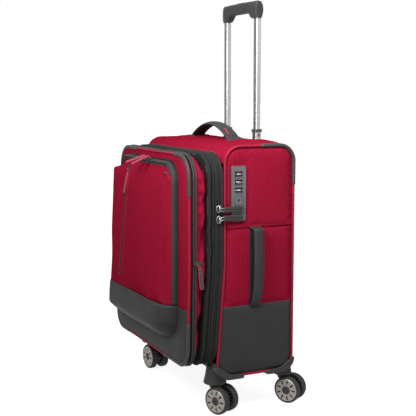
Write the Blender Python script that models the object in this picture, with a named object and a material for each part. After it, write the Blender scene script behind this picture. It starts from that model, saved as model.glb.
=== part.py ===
"""Softside upright suitcase: case, zipped lid, front compartment, trolley handle and four twin casters.

Units are metres and +Z is up. The case stands on its casters on the floor at Z = 0.
+X is the side with the lock and the carry strap, -Y is the front with the pockets.
"""
import bpy
import bmesh
from math import atan2, cos, hypot, pi, radians, sin, sqrt, tan
from mathutils import Matrix, Vector

# ---------------------------------------------------------------- driving dimensions
GAP = 0.0003                 # clearance between neighbouring pieces
HALF_W = 0.200               # half width of the case across the side panels
CASE_BOTTOM = 0.073          # underside of the case above the floor
CASE_TOP = 0.533             # top of the case
BACK_Y = 0.104               # rear face of the case
FRONT_Y = -0.0545            # front edge of the case, where its zip tape starts
LEAN = 0.0155                # how far the front edges swell forward low down
LEAN_Z = 0.300               # height where that swelling starts
SKIN = 0.0057                # thickness of the stiffened panels
SIDE_SKIN = 0.006
BAND_Z = 0.2175              # top of the lower trim bands
R_TOP = 0.035                # side panel corner radii
R_BOTTOM = 0.030

RING_Z0 = 0.099              # the front frame: bottom, top and corner radii
RING_Z1 = 0.517
RING_R_TOP = 0.049
RING_R_BOTTOM = 0.040
RING_WALL = 0.004
ZIP_Y = -0.067               # main zip
GUSSET_Y = -0.0885           # back of the front compartment
MOUTH_Y = -0.1105            # front compartment zip
PANEL_BACK_Y = -0.118
PANEL_FRONT_Y = -0.128
FRONT_LEAN = 0.004

POCKET_HALF_W = 0.153
POCKET_Z0 = 0.139
POCKET_Z1 = 0.499
FLAP_DEPTH = 0.0118
POCKET_DEPTH_TOP = 0.0225    # pocket depth near its top and near its foot
POCKET_DEPTH_LOW = 0.0365

PIPING_R = 0.0027

TUBE_X = 0.0682              # trolley tubes
TUBE_Y = 0.088
INNER_W = 0.014
INNER_D = 0.011
MIDDLE_W = 0.017
MIDDLE_D = 0.014
OUTER_W = 0.020
OUTER_D = 0.017
TUBE_WALL = 0.0012
GRIP_BOTTOM = 0.785
GRIP_TOP = 0.821
GRIP_HALF_L = 0.0768
COLLAR_TOP = 0.5565
COLLAR_H = 0.006

LOCK_Y0 = -0.0392            # lock housing
LOCK_Y1 = -0.0098
LOCK_Z0 = 0.386
LOCK_Z1 = 0.492
LOCK_FACE_X = 0.2045
DIAL_X = 0.1990
DIAL_Y = -0.025
DIAL_R = 0.0065
DIAL_Z = (0.4770, 0.4615, 0.4460)
BUTTON_Z = 0.4265
PULL_Z = (0.4095, 0.3930)

CASTER_X = 0.1685            # casters
CASTER_FRONT_Y = -0.0576
CASTER_REAR_Y = 0.0985
TRAIL = 0.018
WHEEL_R = 0.0275
WHEEL_W = 0.013
WHEEL_OFFSET = 0.0140        # mid-plane of each wheel from the fork's mid-plane
CUP_R = 0.0232               # caster housings
CUP_BOTTOM = 0.0580
HOUSING_TOP = 0.0965
CASTER_TURN = {"fr": 24.0, "rr": 33.0, "fl": 5.0, "rl": 15.0}

ORIGIN_X = 0.0104            # middle of the overall box, so that the origin is its bottom centre
ORIGIN_Y = -0.02197

# ---------------------------------------------------------------- colours
PALETTE = {
    "red_fabric": ((0.33, 0.012, 0.032, 1.0), 0.85, 0.0),
    "charcoal_trim": ((0.035, 0.036, 0.035, 1.0), 0.62, 0.0),
    "charcoal_fabric": ((0.028, 0.029, 0.028, 1.0), 0.9, 0.0),
    "dark_plastic": ((0.030, 0.031, 0.031, 1.0), 0.5, 0.0),
    "grip_plastic": ((0.055, 0.056, 0.055, 1.0), 0.55, 0.0),
    "lock_plastic": ((0.12, 0.125, 0.12, 1.0), 0.45, 0.0),
    "aluminium": ((0.62, 0.62, 0.60, 1.0), 0.35, 1.0),
    "tyre_rubber": ((0.045, 0.045, 0.044, 1.0), 0.75, 0.0),
    "pull_red": ((0.50, 0.035, 0.085, 1.0), 0.6, 0.0),
}


def clear_scene():
    for obj in list(bpy.data.objects):
        bpy.data.objects.remove(obj, do_unlink=True)


def material(name):
    found = bpy.data.materials.get(name)
    if found:
        return found
    colour, rough, metal = PALETTE[name]
    mat = bpy.data.materials.new(name)
    mat.use_nodes = True
    bsdf = mat.node_tree.nodes["Principled BSDF"]
    bsdf.inputs["Base Color"].default_value = colour
    bsdf.inputs["Roughness"].default_value = rough
    bsdf.inputs["Metallic"].default_value = metal
    mat.diffuse_color = colour
    return mat


def make(name, verts, faces, mat, origin=(0.0, 0.0, 0.0), turn=0.0):
    """A mesh object from vertices in case coordinates, with its origin on its joint's axis."""
    pivot = Vector(origin)
    back = Matrix.Rotation(-turn, 3, "Z")
    mesh = bpy.data.meshes.new(name)
    mesh.from_pydata([back @ (Vector(v) - pivot) for v in verts], [], faces)
    bm = bmesh.new()
    bm.from_mesh(mesh)
    bmesh.ops.remove_doubles(bm, verts=bm.verts, dist=1e-6)
    bmesh.ops.recalc_face_normals(bm, faces=bm.faces)
    if bm.calc_volume() < 0.0:
        bmesh.ops.reverse_faces(bm, faces=bm.faces)
    bm.to_mesh(mesh)
    bm.free()
    obj = bpy.data.objects.new(name, mesh)
    obj.location = pivot
    obj.rotation_euler = (0.0, 0.0, turn)
    obj.data.materials.append(material(mat))
    bpy.context.scene.collection.objects.link(obj)
    return obj


def boolean(obj, verts, faces, operation):
    """Cut or join a helper solid given in case coordinates; the helper stays hidden."""
    count = sum(1 for o in bpy.data.objects if o.name.startswith("tool_"))
    tool = make("tool_%03d" % count, verts, faces, "dark_plastic")
    tool.hide_render = True
    tool.display_type = "WIRE"
    mod = obj.modifiers.new("shape_%02d" % len(obj.modifiers), "BOOLEAN")
    mod.operation = operation
    mod.solver = "EXACT"
    mod.object = tool
    return tool


def soften(obj, width, segments=2, angle=40.0):
    mod = obj.modifiers.new("edges", "BEVEL")
    mod.width = width
    mod.segments = segments
    mod.limit_method = "ANGLE"
    mod.angle_limit = radians(angle)


# ---------------------------------------------------------------- outlines
def fillet_polygon(points, radii, inset=0.0, steps=5):
    """Offset a counter-clockwise polygon inwards by inset and round its corners."""
    count = len(points)
    edges = []
    for i in range(count):
        a = Vector(points[i])
        b = Vector(points[(i + 1) % count])
        d = (b - a).normalized()
        edges.append((a + Vector((-d.y, d.x)) * inset, d))
    corners = []
    for i in range(count):
        p, d = edges[i - 1]
        q, e = edges[i]
        cross = d.x * e.y - d.y * e.x
        t = ((q.x - p.x) * e.y - (q.y - p.y) * e.x) / cross
        corners.append(p + d * t)
    out = []
    for i in range(count):
        c = corners[i]
        r = radii[i] - inset
        if radii[i] <= 0.0 or r <= 1e-5:
            out.append((c.x, c.y))
            continue
        d = edges[i - 1][1]
        e = edges[i][1]
        half = atan2(d.x * e.y - d.y * e.x, d.dot(e)) / 2.0
        reach = r * tan(half)
        centre = c - d * reach + Vector((-d.y, d.x)) * r
        start = atan2(-d.x, d.y)
        for k in range(steps + 1):
            a = start + 2.0 * half * k / steps
            out.append((centre.x + r * cos(a), centre.y + r * sin(a)))
    return out


def side_outline(inset=0.0, steps=5):
    """The side panel's outline as (y, z), swelling forward towards its foot."""
    slope = LEAN / (LEAN_Z - RING_Z0)
    foot = FRONT_Y - slope * (LEAN_Z - CASE_BOTTOM)
    points = [(foot, CASE_BOTTOM), (BACK_Y, CASE_BOTTOM), (BACK_Y, CASE_TOP), (FRONT_Y, CASE_TOP), (FRONT_Y, LEAN_Z)]
    return fillet_polygon(points, [R_BOTTOM, R_BOTTOM, R_TOP, R_TOP, 0.0], inset, steps)


def clip(points, level, above):
    """Keep the part of a closed (y, z) outline above or below a level."""
    out = []
    for i, p in enumerate(points):
        q = points[(i + 1) % len(points)]
        p_in = (p[1] > level) == above
        q_in = (q[1] > level) == above
        if p_in:
            out.append(p)
        if p_in != q_in:
            t = (level - p[1]) / (q[1] - p[1])
            out.append((p[0] + (q[0] - p[0]) * t, level))
    return out


def half_outline(half_w, z0, z1, r0, r1, inset=0.0, steps=6, levels=()):
    """Right half of a rounded rectangle as (x, z), from its foot to its top."""
    w = half_w - inset
    lo = z0 + inset
    hi = z1 - inset
    a = max(r0 - inset, 0.0005)
    b = max(r1 - inset, 0.0005)
    out = []
    for k in range(steps + 1):
        t = -pi / 2 + pi / 2 * k / steps
        out.append((w - a + a * cos(t), lo + a + a * sin(t)))
    for z in levels:
        if lo + a + 0.002 < z < hi - b - 0.002:
            out.append((w, z))
    for k in range(steps + 1):
        t = pi / 2 * k / steps
        out.append((w - b + b * cos(t), hi - b + b * sin(t)))
    return out


def ring_half(inset=0.0, steps=6):
    return half_outline(HALF_W, RING_Z0, RING_Z1, RING_R_BOTTOM, RING_R_TOP, inset, steps, (0.190, 0.245, LEAN_Z))


def swell(z, amount):
    return amount * min(max((LEAN_Z - z) / (LEAN_Z - RING_Z0), 0.0), 1.15)


def level_y(base, amount=LEAN):
    return lambda z: base - swell(z, amount)


# ---------------------------------------------------------------- solid builders
def box(lo, hi):
    verts = [(x, y, z) for x in (lo[0], hi[0]) for y in (lo[1], hi[1]) for z in (lo[2], hi[2])]
    faces = [(0, 1, 3, 2), (4, 6, 7, 5), (0, 4, 5, 1), (2, 3, 7, 6), (0, 2, 6, 4), (1, 5, 7, 3)]
    return verts, faces


def prism(outline, axis, lo, hi):
    """Extrude a closed outline along X, Y or Z; the outline holds the other two coordinates in order."""
    count = len(outline)
    verts = []
    for level in (lo, hi):
        for a, b in outline:
            verts.append({"X": (level, a, b), "Y": (a, level, b), "Z": (a, b, level)}[axis])
    faces = [tuple(range(count)), tuple(range(2 * count - 1, count - 1, -1))]
    for i in range(count):
        j = (i + 1) % count
        faces.append((i, j, count + j, count + i))
    return verts, faces


def band(paths, closed=True):
    """Join four matching polylines, given in order round the section, into one solid."""
    count = len(paths[0])
    sides = len(paths)
    verts = [p for path in paths for p in path]
    faces = []
    for s in range(sides):
        t = (s + 1) % sides
        for i in range(count if closed else count - 1):
            j = (i + 1) % count
            faces.append((s * count + i, s * count + j, t * count + j, t * count + i))
    if not closed:
        faces.append(tuple(s * count for s in range(sides)))
        faces.append(tuple(s * count + count - 1 for s in reversed(range(sides))))
    return verts, faces


def both_halves(half):
    return half + [(-x, z) for x, z in reversed(half)]


def frame_ring(back, front, wall=RING_WALL, inset=0.0):
    """A wall that follows the front frame's outline between two levels in Y."""
    outer = both_halves(ring_half(inset))
    inner = both_halves(ring_half(inset + wall))
    return band([
        [(x, back(z), z) for x, z in outer],
        [(x, front(z), z) for x, z in outer],
        [(x, front(z), z) for x, z in inner],
        [(x, back(z), z) for x, z in inner],
    ])


def frame_tray(back, front, web):
    """The same wall, closed at its front by a panel of thickness web."""
    outer = ring_half()
    inner = ring_half(RING_WALL)
    count = len(outer)
    verts = []
    for half, depth in ((outer, back), (outer, front), (inner, lambda z: front(z) + web), (inner, back)):
        verts += [(x, depth(z), z) for x, z in half]
        verts += [(-x, depth(z), z) for x, z in half]
    faces = []

    def loop(layer):
        base = layer * 2 * count
        return [base + i for i in range(count)] + [base + count + i for i in reversed(range(count))]
    loops = [loop(k) for k in range(4)]
    for s, t in ((0, 1), (2, 3), (3, 0)):
        for i in range(2 * count):
            j = (i + 1) % (2 * count)
            faces.append((loops[s][i], loops[s][j], loops[t][j], loops[t][i]))
    for layer in (1, 2):
        base = layer * 2 * count
        for i in range(count - 1):
            faces.append((base + i, base + i + 1, base + count + i + 1, base + count + i))
    return verts, faces


def relief(rows, columns, back, front):
    """A panel: rows give (half width, z); columns give fractions of the half width; front(u, w, z) is its face."""
    verts = []
    n = len(columns)
    for w, z in rows:
        for c in columns:
            verts.append((w * c, back(z), z))
    offset = len(verts)
    for w, z in rows:
        for c in columns:
            verts.append((w * c, front(c, w, z), z))
    faces = []
    m = len(rows)
    for r in range(m - 1):
        for c in range(n - 1):
            a = r * n + c
            faces.append((a, a + 1, a + n + 1, a + n))
            faces.append((offset + a, offset + a + n, offset + a + n + 1, offset + a + 1))
    rim = [c for c in range(n)]
    rim += [r * n + n - 1 for r in range(1, m)]
    rim += [(m - 1) * n + c for c in reversed(range(n - 1))]
    rim += [r * n for r in reversed(range(1, m - 1))]
    for i in range(len(rim)):
        a = rim[i]
        b = rim[(i + 1) % len(rim)]
        faces.append((a, b, offset + b, offset + a))
    return verts, faces


def tube_along(path, radius, normal, sides=8, closed=True):
    """A round cord along a flat path whose plane has the given normal."""
    count = len(path)
    loops = [[] for _ in range(sides)]
    up = Vector(normal).normalized()
    for i in range(count):
        p = Vector(path[i])
        before = Vector(path[i - 1]) if closed or i > 0 else p
        after = Vector(path[(i + 1) % count]) if closed or i < count - 1 else p
        along = (after - before).normalized()
        across = up.cross(along).normalized()
        for s in range(sides):
            a = 2 * pi * (s + 0.5) / sides
            loops[s].append(tuple(p + (across * cos(a) + up * sin(a)) * radius))
    return band(loops, closed)


def lathe(profile, sides=24, axis="Z", centre=(0.0, 0.0, 0.0), hollow=False):
    """Turn a closed (r, h) profile about an axis; hollow profiles never touch the axis."""
    verts = []
    for r, h in profile:
        for s in range(sides):
            a = 2 * pi * s / sides
            p = {"Z": (r * cos(a), r * sin(a), h), "Y": (r * cos(a), h, r * sin(a))}[axis]
            verts.append(tuple(p[k] + centre[k] for k in range(3)))
    faces = []
    rows = len(profile)
    for i in range(rows if hollow else rows - 1):
        j = (i + 1) % rows
        for s in range(sides):
            t = (s + 1) % sides
            faces.append((i * sides + s, i * sides + t, j * sides + t, j * sides + s))
    if not hollow:
        faces.append(tuple(range(sides)))
        faces.append(tuple(reversed(range((rows - 1) * sides, rows * sides))))
    return verts, faces


def turned(solid, angle, centre):
    """Turn a solid about a vertical line."""
    rot = Matrix.Rotation(angle, 3, "Z")
    pivot = Vector(centre)
    return [tuple(rot @ (Vector(v) - pivot) + pivot) for v in solid[0]], solid[1]


def rounded_rect(cx, cy, half_a, half_b, radius, steps=3):
    points = [(cx - half_a, cy - half_b), (cx + half_a, cy - half_b), (cx + half_a, cy + half_b), (cx - half_a, cy + half_b)]
    return fillet_polygon(points, [radius] * 4, 0.0, steps)


def square_tube(cx, cy, width, depth, wall, z0, z1, radius=0.003):
    """A rectangular tube with rounded corners, open at both ends."""
    outer = rounded_rect(cx, cy, width / 2, depth / 2, radius)
    inner = rounded_rect(cx, cy, width / 2 - wall, depth / 2 - wall, max(radius - wall, 0.0008))
    return band([
        [(x, y, z0) for x, y in outer],
        [(x, y, z1) for x, y in outer],
        [(x, y, z1) for x, y in inner],
        [(x, y, z0) for x, y in inner],
    ])


# ---------------------------------------------------------------- case
def frame_height(x, top):
    """Height of the front frame's outline at a distance x from the middle."""
    x = abs(x)
    r = RING_R_TOP if top else RING_R_BOTTOM
    flat = HALF_W - r
    rise = 0.0
    if x > flat:
        rise = r - sqrt(max(r * r - (x - flat) ** 2, 0.0))
    return RING_Z1 - rise if top else RING_Z0 + rise


def wrap_section(x, top, thick, steps=6):
    """Top or bottom panel section at x, from its front edge to its straight part, as (y, z)."""
    level = CASE_TOP if top else CASE_BOTTOM
    r = R_TOP if top else R_BOTTOM
    sign = -1.0 if top else 1.0
    end = frame_height(x, top) + sign * 0.004
    end = min(end, CASE_TOP - 0.010) if top else max(end, CASE_BOTTOM + 0.010)
    drop = min(r, abs(level - end))
    centre = FRONT_Y - swell(level + sign * r, LEAN) + r
    out = [(FRONT_Y - swell(end, LEAN) + thick, end + sign * 0.0002)]
    for k in range(steps + 1):
        a = pi / 2 * k / steps
        y = centre - (r - thick) * cos(a)
        z = level + sign * (drop - (drop - thick) * sin(a))
        out.append((y, z))
    return out


def wrap_panel(name, top, rear_y):
    """The panel that wraps over the top, or under the bottom, between the two pipings."""
    half = HALF_W - 0.0045
    xs = [-half, -0.187, -0.172, -0.155, -0.120, 0.0, 0.120, 0.155, 0.172, 0.187, half]
    outer = [wrap_section(x, top, 0.0) for x in xs]
    inner = [wrap_section(x, top, SKIN) for x in xs]
    level = CASE_TOP if top else CASE_BOTTOM
    step = -SKIN if top else SKIN
    verts = []
    for layer, z in ((outer, level), (inner, level + step)):
        for x, section in zip(xs, layer):
            verts += [(x, y, zz) for y, zz in section]
            verts.append((x, rear_y, z))
    n = len(outer[0]) + 1
    m = len(xs)
    faces = []
    offset = n * m
    for i in range(m - 1):
        for k in range(n - 1):
            a = i * n + k
            faces.append((a, a + 1, a + n + 1, a + n))
            faces.append((offset + a, offset + a + n, offset + a + n + 1, offset + a + 1))
    rim = [k for k in range(n)] + [i * n + n - 1 for i in range(1, m)]
    rim += [(m - 1) * n + k for k in reversed(range(n - 1))] + [i * n for i in reversed(range(1, m - 1))]
    for i in range(len(rim)):
        a = rim[i]
        b = rim[(i + 1) % len(rim)]
        faces.append((a, b, offset + b, offset + a))
    return make(name, verts, faces, "red_fabric" if top else "charcoal_trim")


def build_back_panel(top_y, bottom_y):
    """Rear wall with its rounded top and foot, from the top panel round to the bottom panel."""
    half = HALF_W - 0.0045
    outer = [(top_y, CASE_TOP)]
    inner = [(top_y, CASE_TOP - SKIN)]
    for k in range(7):
        a = pi / 2 - pi / 2 * k / 6
        outer.append((BACK_Y - R_TOP + R_TOP * cos(a), CASE_TOP - R_TOP + R_TOP * sin(a)))
        inner.append((BACK_Y - R_TOP + (R_TOP - SKIN) * cos(a), CASE_TOP - R_TOP + (R_TOP - SKIN) * sin(a)))
    for k in range(7):
        a = -pi / 2 * k / 6
        outer.append((BACK_Y - R_BOTTOM + R_BOTTOM * cos(a), CASE_BOTTOM + R_BOTTOM + R_BOTTOM * sin(a)))
        inner.append((BACK_Y - R_BOTTOM + (R_BOTTOM - SKIN) * cos(a), CASE_BOTTOM + R_BOTTOM + (R_BOTTOM - SKIN) * sin(a)))
    outer.append((bottom_y, CASE_BOTTOM))
    inner.append((bottom_y, CASE_BOTTOM + SKIN))
    outline = outer + list(reversed(inner))
    obj = make("back_panel", *prism(outline, "X", -half, half), "red_fabric")
    boolean(obj, *box((-0.0963, 0.0683, 0.495), (0.0963, 0.120, 0.545)), "DIFFERENCE")
    boolean(obj, *box((-0.0800, 0.0783, 0.480), (0.0800, 0.0978, 0.500)), "DIFFERENCE")
    return obj


def build_case():
    wrap_panel("top_panel", True, 0.0667)
    wrap_panel("bottom_panel", False, 0.0720)
    build_back_panel(0.0670, 0.0723)
    for side, word in ((1.0, "right"), (-1.0, "left")):
        outline = side_outline(0.006)
        xs = sorted((side * (HALF_W - SIDE_SKIN), side * HALF_W))
        upper = clip(outline, BAND_Z + GAP / 2, True)
        lower = clip(outline, BAND_Z - GAP / 2, False)
        panel = make("side_panel_" + word, *prism(upper, "X", *xs), "red_fabric")
        make("side_band_" + word, *prism(lower, "X", *xs), "charcoal_trim")
        if side > 0:
            hole = box((0.190, LOCK_Y0 - GAP, LOCK_Z0 - GAP), (0.204, LOCK_Y1 + GAP, LOCK_Z1 + GAP))
            boolean(panel, *hole, "DIFFERENCE")
        path = [(side * 0.1985, y, z) for y, z in side_outline(0.003)]
        make("side_piping_" + word, *tube_along(path, PIPING_R, (1, 0, 0)), "red_fabric")

    tape = make("case_zip_tape", *frame_ring(level_y(FRONT_Y - GAP), level_y(ZIP_Y)), "charcoal_fabric")
    for z in (PULL_Z[0] + 0.0030, PULL_Z[1] - 0.0030):
        outline = [(0.1985, ZIP_Y + 0.0004), (0.1985, -0.0605), (0.2046, -0.0605), (0.2046, -0.0735),
                   (0.2004, -0.0735), (0.2004, ZIP_Y + 0.0004)]
        boolean(tape, *prism(outline, "Z", z - 0.0062, z + 0.0062), "UNION")


def strap(path, half_thick):
    """Outline of a bent strap from its centre line, both in the same plane."""
    left = []
    right = []
    for i, p in enumerate(path):
        a = Vector(path[max(i - 1, 0)])
        b = Vector(path[min(i + 1, len(path) - 1)])
        d = (b - a).normalized()
        n = Vector((-d.y, d.x))
        t = half_thick(i / (len(path) - 1))
        left.append((p[0] + n.x * t, p[1] + n.y * t))
        right.append((p[0] - n.x * t, p[1] - n.y * t))
    return right + list(reversed(left))


def build_handles():
    """Padded strap handles on the top and on the side."""
    path = []
    for k in range(13):
        t = k / 12
        path.append((0.2031 + 0.0185 * sin(pi * t) ** 0.62, 0.374 - 0.156 * t))
    side = make("side_handle", *prism(strap(path, lambda t: 0.0022 + 0.0012 * sin(pi * t)), "Y", 0.0010, 0.0225),
                "charcoal_trim")
    soften(side, 0.0009, 1)
    path = []
    for k in range(17):
        t = k / 16
        u = -1.0 + 2.0 * t
        path.append((0.006 + 0.090 * u, CASE_TOP + 0.0035 + 0.0315 * (1.0 - abs(u) ** 2.2) ** 0.75))
    top = make("top_handle", *prism(strap(path, lambda t: 0.0025 + 0.0028 * sin(pi * t)), "Y", 0.0040, 0.0345),
               "charcoal_trim")
    soften(top, 0.0012, 1)


def build_lock():
    """Combination lock let into the side panel, with three dials and a release button."""
    mid = (LOCK_Y0 + LOCK_Y1) / 2
    half = (LOCK_Y1 - LOCK_Y0) / 2
    outline = rounded_rect(mid, (LOCK_Z0 + LOCK_Z1) / 2, half, (LOCK_Z1 - LOCK_Z0) / 2, 0.0035, 3)
    plate = make("lock_plate", *prism(outline, "X", 0.1875, LOCK_FACE_X), "lock_plastic")
    for z in DIAL_Z:
        lo = (0.1905, DIAL_Y - DIAL_R - 0.0006, z - 0.0028)
        hi = (0.210, DIAL_Y + DIAL_R + 0.0006, z + 0.0028)
        boolean(plate, *box(lo, hi), "DIFFERENCE")
    lo = (0.1960, DIAL_Y - 0.0078, BUTTON_Z - 0.0078)
    hi = (0.210, DIAL_Y + 0.0078, BUTTON_Z + 0.0078)
    boolean(plate, *box(lo, hi), "DIFFERENCE")
    for k, z in enumerate(DIAL_Z):
        profile = [(0.0050, -0.0023), (DIAL_R, -0.0017), (DIAL_R, 0.0017), (0.0050, 0.0023)]
        make("lock_dial_%d" % (k + 1), *lathe(profile, 16, "Z", (DIAL_X, DIAL_Y, z)), "dark_plastic",
             (DIAL_X, DIAL_Y, z))
    outline = rounded_rect(DIAL_Y, BUTTON_Z, 0.0074, 0.0074, 0.0015, 2)
    button = make("lock_button", *prism(outline, "X", 0.1988, 0.2052), "lock_plastic", (0.2052, DIAL_Y, BUTTON_Z))
    boolean(button, *box((0.2042, DIAL_Y - 0.0005, BUTTON_Z - 0.0022), (0.2070, DIAL_Y + 0.0005, BUTTON_Z + 0.0022)),
            "DIFFERENCE")


# ---------------------------------------------------------------- lid and front compartment
def pocket_depth(z):
    """How far the pocket's face stands off the front panel, growing towards its foot."""
    t = (0.470 - z) / (0.470 - 0.190)
    if t < 0.0:
        k = min(-t * 280.0 / 29.0, 1.0)
        return POCKET_DEPTH_TOP - (POCKET_DEPTH_TOP - 0.0135) * k * k
    if t > 1.0:
        return max(POCKET_DEPTH_LOW - 1.1 * max(0.168 - z, 0.0), 0.0055)
    return POCKET_DEPTH_TOP + (POCKET_DEPTH_LOW - POCKET_DEPTH_TOP) * t


def panel_front(z):
    return PANEL_FRONT_Y - swell(z, FRONT_LEAN)


def pocket_rows(inset, lo, hi):
    levels = (0.190, 0.245, LEAN_Z, 0.350, 0.400, 0.440, 0.470)
    half = half_outline(POCKET_HALF_W, POCKET_Z0, POCKET_Z1, 0.030, 0.042, inset, 6, levels)
    rows = []
    for w, z in half:
        if lo <= z <= hi:
            rows.append((w, z))
    if rows[0][1] > lo + 0.001:
        rows.insert(0, (POCKET_HALF_W - inset, lo))
    if rows[-1][1] < hi - 0.001 and hi < POCKET_Z1 - 0.05:
        rows.append((POCKET_HALF_W - inset, hi))
    return rows


def build_lid():
    make("lid_tray", *frame_tray(level_y(ZIP_Y - 0.0004), level_y(GUSSET_Y), 0.0025), "charcoal_fabric",
         (-HALF_W, ZIP_Y, CASE_BOTTOM))
    make("front_gusset", *frame_ring(level_y(GUSSET_Y - GAP), level_y(MOUTH_Y, FRONT_LEAN), 0.0035, 0.0015),
         "red_fabric", (-HALF_W, ZIP_Y, CASE_BOTTOM))


def build_front():
    hinge = (0.0, MOUTH_Y - FRONT_LEAN, RING_Z0)
    make("front_zip_tape", *frame_ring(level_y(MOUTH_Y - GAP, FRONT_LEAN), level_y(PANEL_BACK_Y, FRONT_LEAN)),
         "charcoal_fabric", hinge)
    back = level_y(PANEL_BACK_Y - GAP, FRONT_LEAN)
    rows = ring_half(0.006)
    columns = (-1.0, -0.5, 0.0, 0.5, 1.0)
    upper = [(0.194, BAND_Z + GAP / 2)] + [r for r in rows if r[1] > BAND_Z + 0.004]
    lower = [r for r in rows if r[1] < BAND_Z - 0.004] + [(0.194, BAND_Z - GAP / 2)]
    make("front_panel", *relief(upper, columns, back, lambda u, w, z: panel_front(z)), "red_fabric", hinge)
    make("front_band", *relief(lower, columns, back, lambda u, w, z: panel_front(z)), "charcoal_trim", hinge)
    path = [(x, panel_front(z) + 0.0030, z) for x, z in both_halves(ring_half(0.003))]
    make("front_piping", *tube_along(path, PIPING_R, (0, 1, 0)), "charcoal_trim", hinge)

    # pocket: a flap that runs up, over and down, the red face and the trim at its foot
    split = BAND_Z + 0.001
    outer = both_halves([(POCKET_HALF_W, split + GAP / 2)] + pocket_rows(0.0, split + 0.002, 0.6))
    inner = both_halves([(POCKET_HALF_W - 0.008, split + GAP / 2)] + pocket_rows(0.008, split + 0.002, 0.6))
    crown = both_halves([(POCKET_HALF_W - 0.003, split + GAP / 2)] + pocket_rows(0.003, split + 0.002, 0.6))
    paths = [
        [(x, panel_front(z) - GAP, z) for x, z in outer],
        [(x, panel_front(z) - FLAP_DEPTH * 0.75, z) for x, z in outer],
        [(x, panel_front(z) - FLAP_DEPTH, z) for x, z in crown],
        [(x, panel_front(z) - FLAP_DEPTH, z) for x, z in inner],
        [(x, panel_front(z) - GAP, z) for x, z in inner],
    ]
    make("pocket_flap", *band(paths, False), "charcoal_trim", hinge)
    columns = (-1.0, -0.955, -0.88, -0.72, -0.38, 0.0, 0.38, 0.72, 0.88, 0.955, 1.0)

    def face(edge):
        def front(u, w, z):
            t = min((1.0 - abs(u)) / 0.28, 1.0)
            d = pocket_depth(z)
            return panel_front(z) - (edge * d + (1.0 - edge) * d * sin(pi / 2 * t) ** 0.8)
        return front
    rows = [(POCKET_HALF_W - 0.0085, split + GAP / 2)] + pocket_rows(0.0085, split + 0.002, 0.6)
    back = lambda z: panel_front(z) - GAP
    make("pocket_body", *relief(rows, columns, back, face(0.66)), "red_fabric", hinge)
    rows = pocket_rows(0.0, POCKET_Z0, split - 0.004) + [(POCKET_HALF_W, split - GAP / 2)]
    make("pocket_band", *relief(rows, columns, back, face(0.66)), "charcoal_trim", hinge)


def bar(start, end, half_w, half_t, side):
    """A flat zip pull from start to end; side is the direction across its width."""
    a = Vector(start)
    b = Vector(end)
    along = (b - a).normalized()
    across = (Vector(side) - along * along.dot(Vector(side))).normalized()
    up = along.cross(across)
    verts = []
    stations = ((0.0, 0.62), (0.10, 1.0), (0.92, 1.0), (1.0, 0.72))
    for t, k in stations:
        p = a.lerp(b, t)
        for sx, sy in ((-1, -1), (1, -1), (1, 1), (-1, 1)):
            verts.append(tuple(p + across * half_w * k * sx + up * half_t * sy))
    faces = [(0, 3, 2, 1), (12, 13, 14, 15)]
    for i in range(3):
        for s in range(4):
            t = (s + 1) % 4
            faces.append((i * 4 + s, i * 4 + t, i * 4 + 4 + t, i * 4 + 4 + s))
    return verts, faces


def build_pulls():
    for word, z in (("upper", PULL_Z[0]), ("lower", PULL_Z[1])):
        pull = make("main_pull_" + word, *bar((0.2078, -0.0610, z), (0.2078, -0.0175, z), 0.0050, 0.0019, (0, 0, 1)),
                    "dark_plastic", (0.2078, -0.0600, z))
        soften(pull, 0.0006, 1)
    pull = make("compartment_pull", *bar((0.2030, -0.1030, 0.3045), (0.2030, -0.1022, 0.2580), 0.0034, 0.0014, (0, 1, 0)),
                "pull_red", (0.2030, -0.1030, 0.3045))
    soften(pull, 0.0006, 1)
    for word, x, tip in (("left", 0.0160, 0.0060), ("right", 0.0340, 0.0440)):
        pull = make("pocket_pull_" + word, *bar((x, -0.1432, 0.5020), (tip, -0.1830, 0.4900), 0.0034, 0.0014, (1, 0, 0)),
                    "pull_red", (x, -0.1432, 0.5020))
        soften(pull, 0.0006, 1)
    pull = make("face_pull", *bar((-0.0655, -0.1535, 0.4660), (-0.0680, -0.1558, 0.4240), 0.0034, 0.0014, (1, 0, 0)),
                "pull_red", (-0.0655, -0.1535, 0.4660))
    soften(pull, 0.0006, 1)


# ---------------------------------------------------------------- trolley handle
def grip_solid():
    """The grip: flat in front, rounded behind, with an arch under its middle and rounded ends."""
    section = [(-0.0080, 0.0), (-0.0096, 0.15), (-0.0098, 0.50), (-0.0090, 0.86), (-0.0062, 0.97), (0.0000, 1.0),
               (0.0055, 0.96), (0.0094, 0.79), (0.0112, 0.50), (0.0098, 0.25), (0.0072, 0.06), (0.0055, 0.0)]
    stations = [(GRIP_HALF_L, 0.70), (GRIP_HALF_L - 0.0008, 0.86), (GRIP_HALF_L - 0.0028, 0.96), (GRIP_HALF_L - 0.0070, 1.0),
                (0.0585, 1.0), (0.0540, 1.0), (0.0495, 1.0), (0.0440, 1.0), (0.0380, 1.0), (0.0200, 1.0)]
    stations = [(-x, k) for x, k in stations] + [(0.0, 1.0)] + [(x, k) for x, k in reversed(stations)]
    count = len(section)
    mid = (GRIP_BOTTOM + GRIP_TOP) / 2
    verts = []
    for x, k in stations:
        t = min(max((0.0585 - abs(x)) / 0.0205, 0.0), 1.0)
        low = GRIP_BOTTOM + 0.0135 * t * t * (3.0 - 2.0 * t)
        for y, f in section:
            z = low + (GRIP_TOP - low) * f
            if f > 0.5 or k == 1.0:
                z = mid + (z - mid) * k
            verts.append((x, TUBE_Y + y * k, z))
    faces = [tuple(reversed(range(count))), tuple(range((len(stations) - 1) * count, len(stations) * count))]
    for i in range(len(stations) - 1):
        for s in range(count):
            t = (s + 1) % count
            a = i * count + s
            b = i * count + t
            faces.append((a, b, b + count))
            faces.append((a, b + count, a + count))
    return verts, faces


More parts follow.
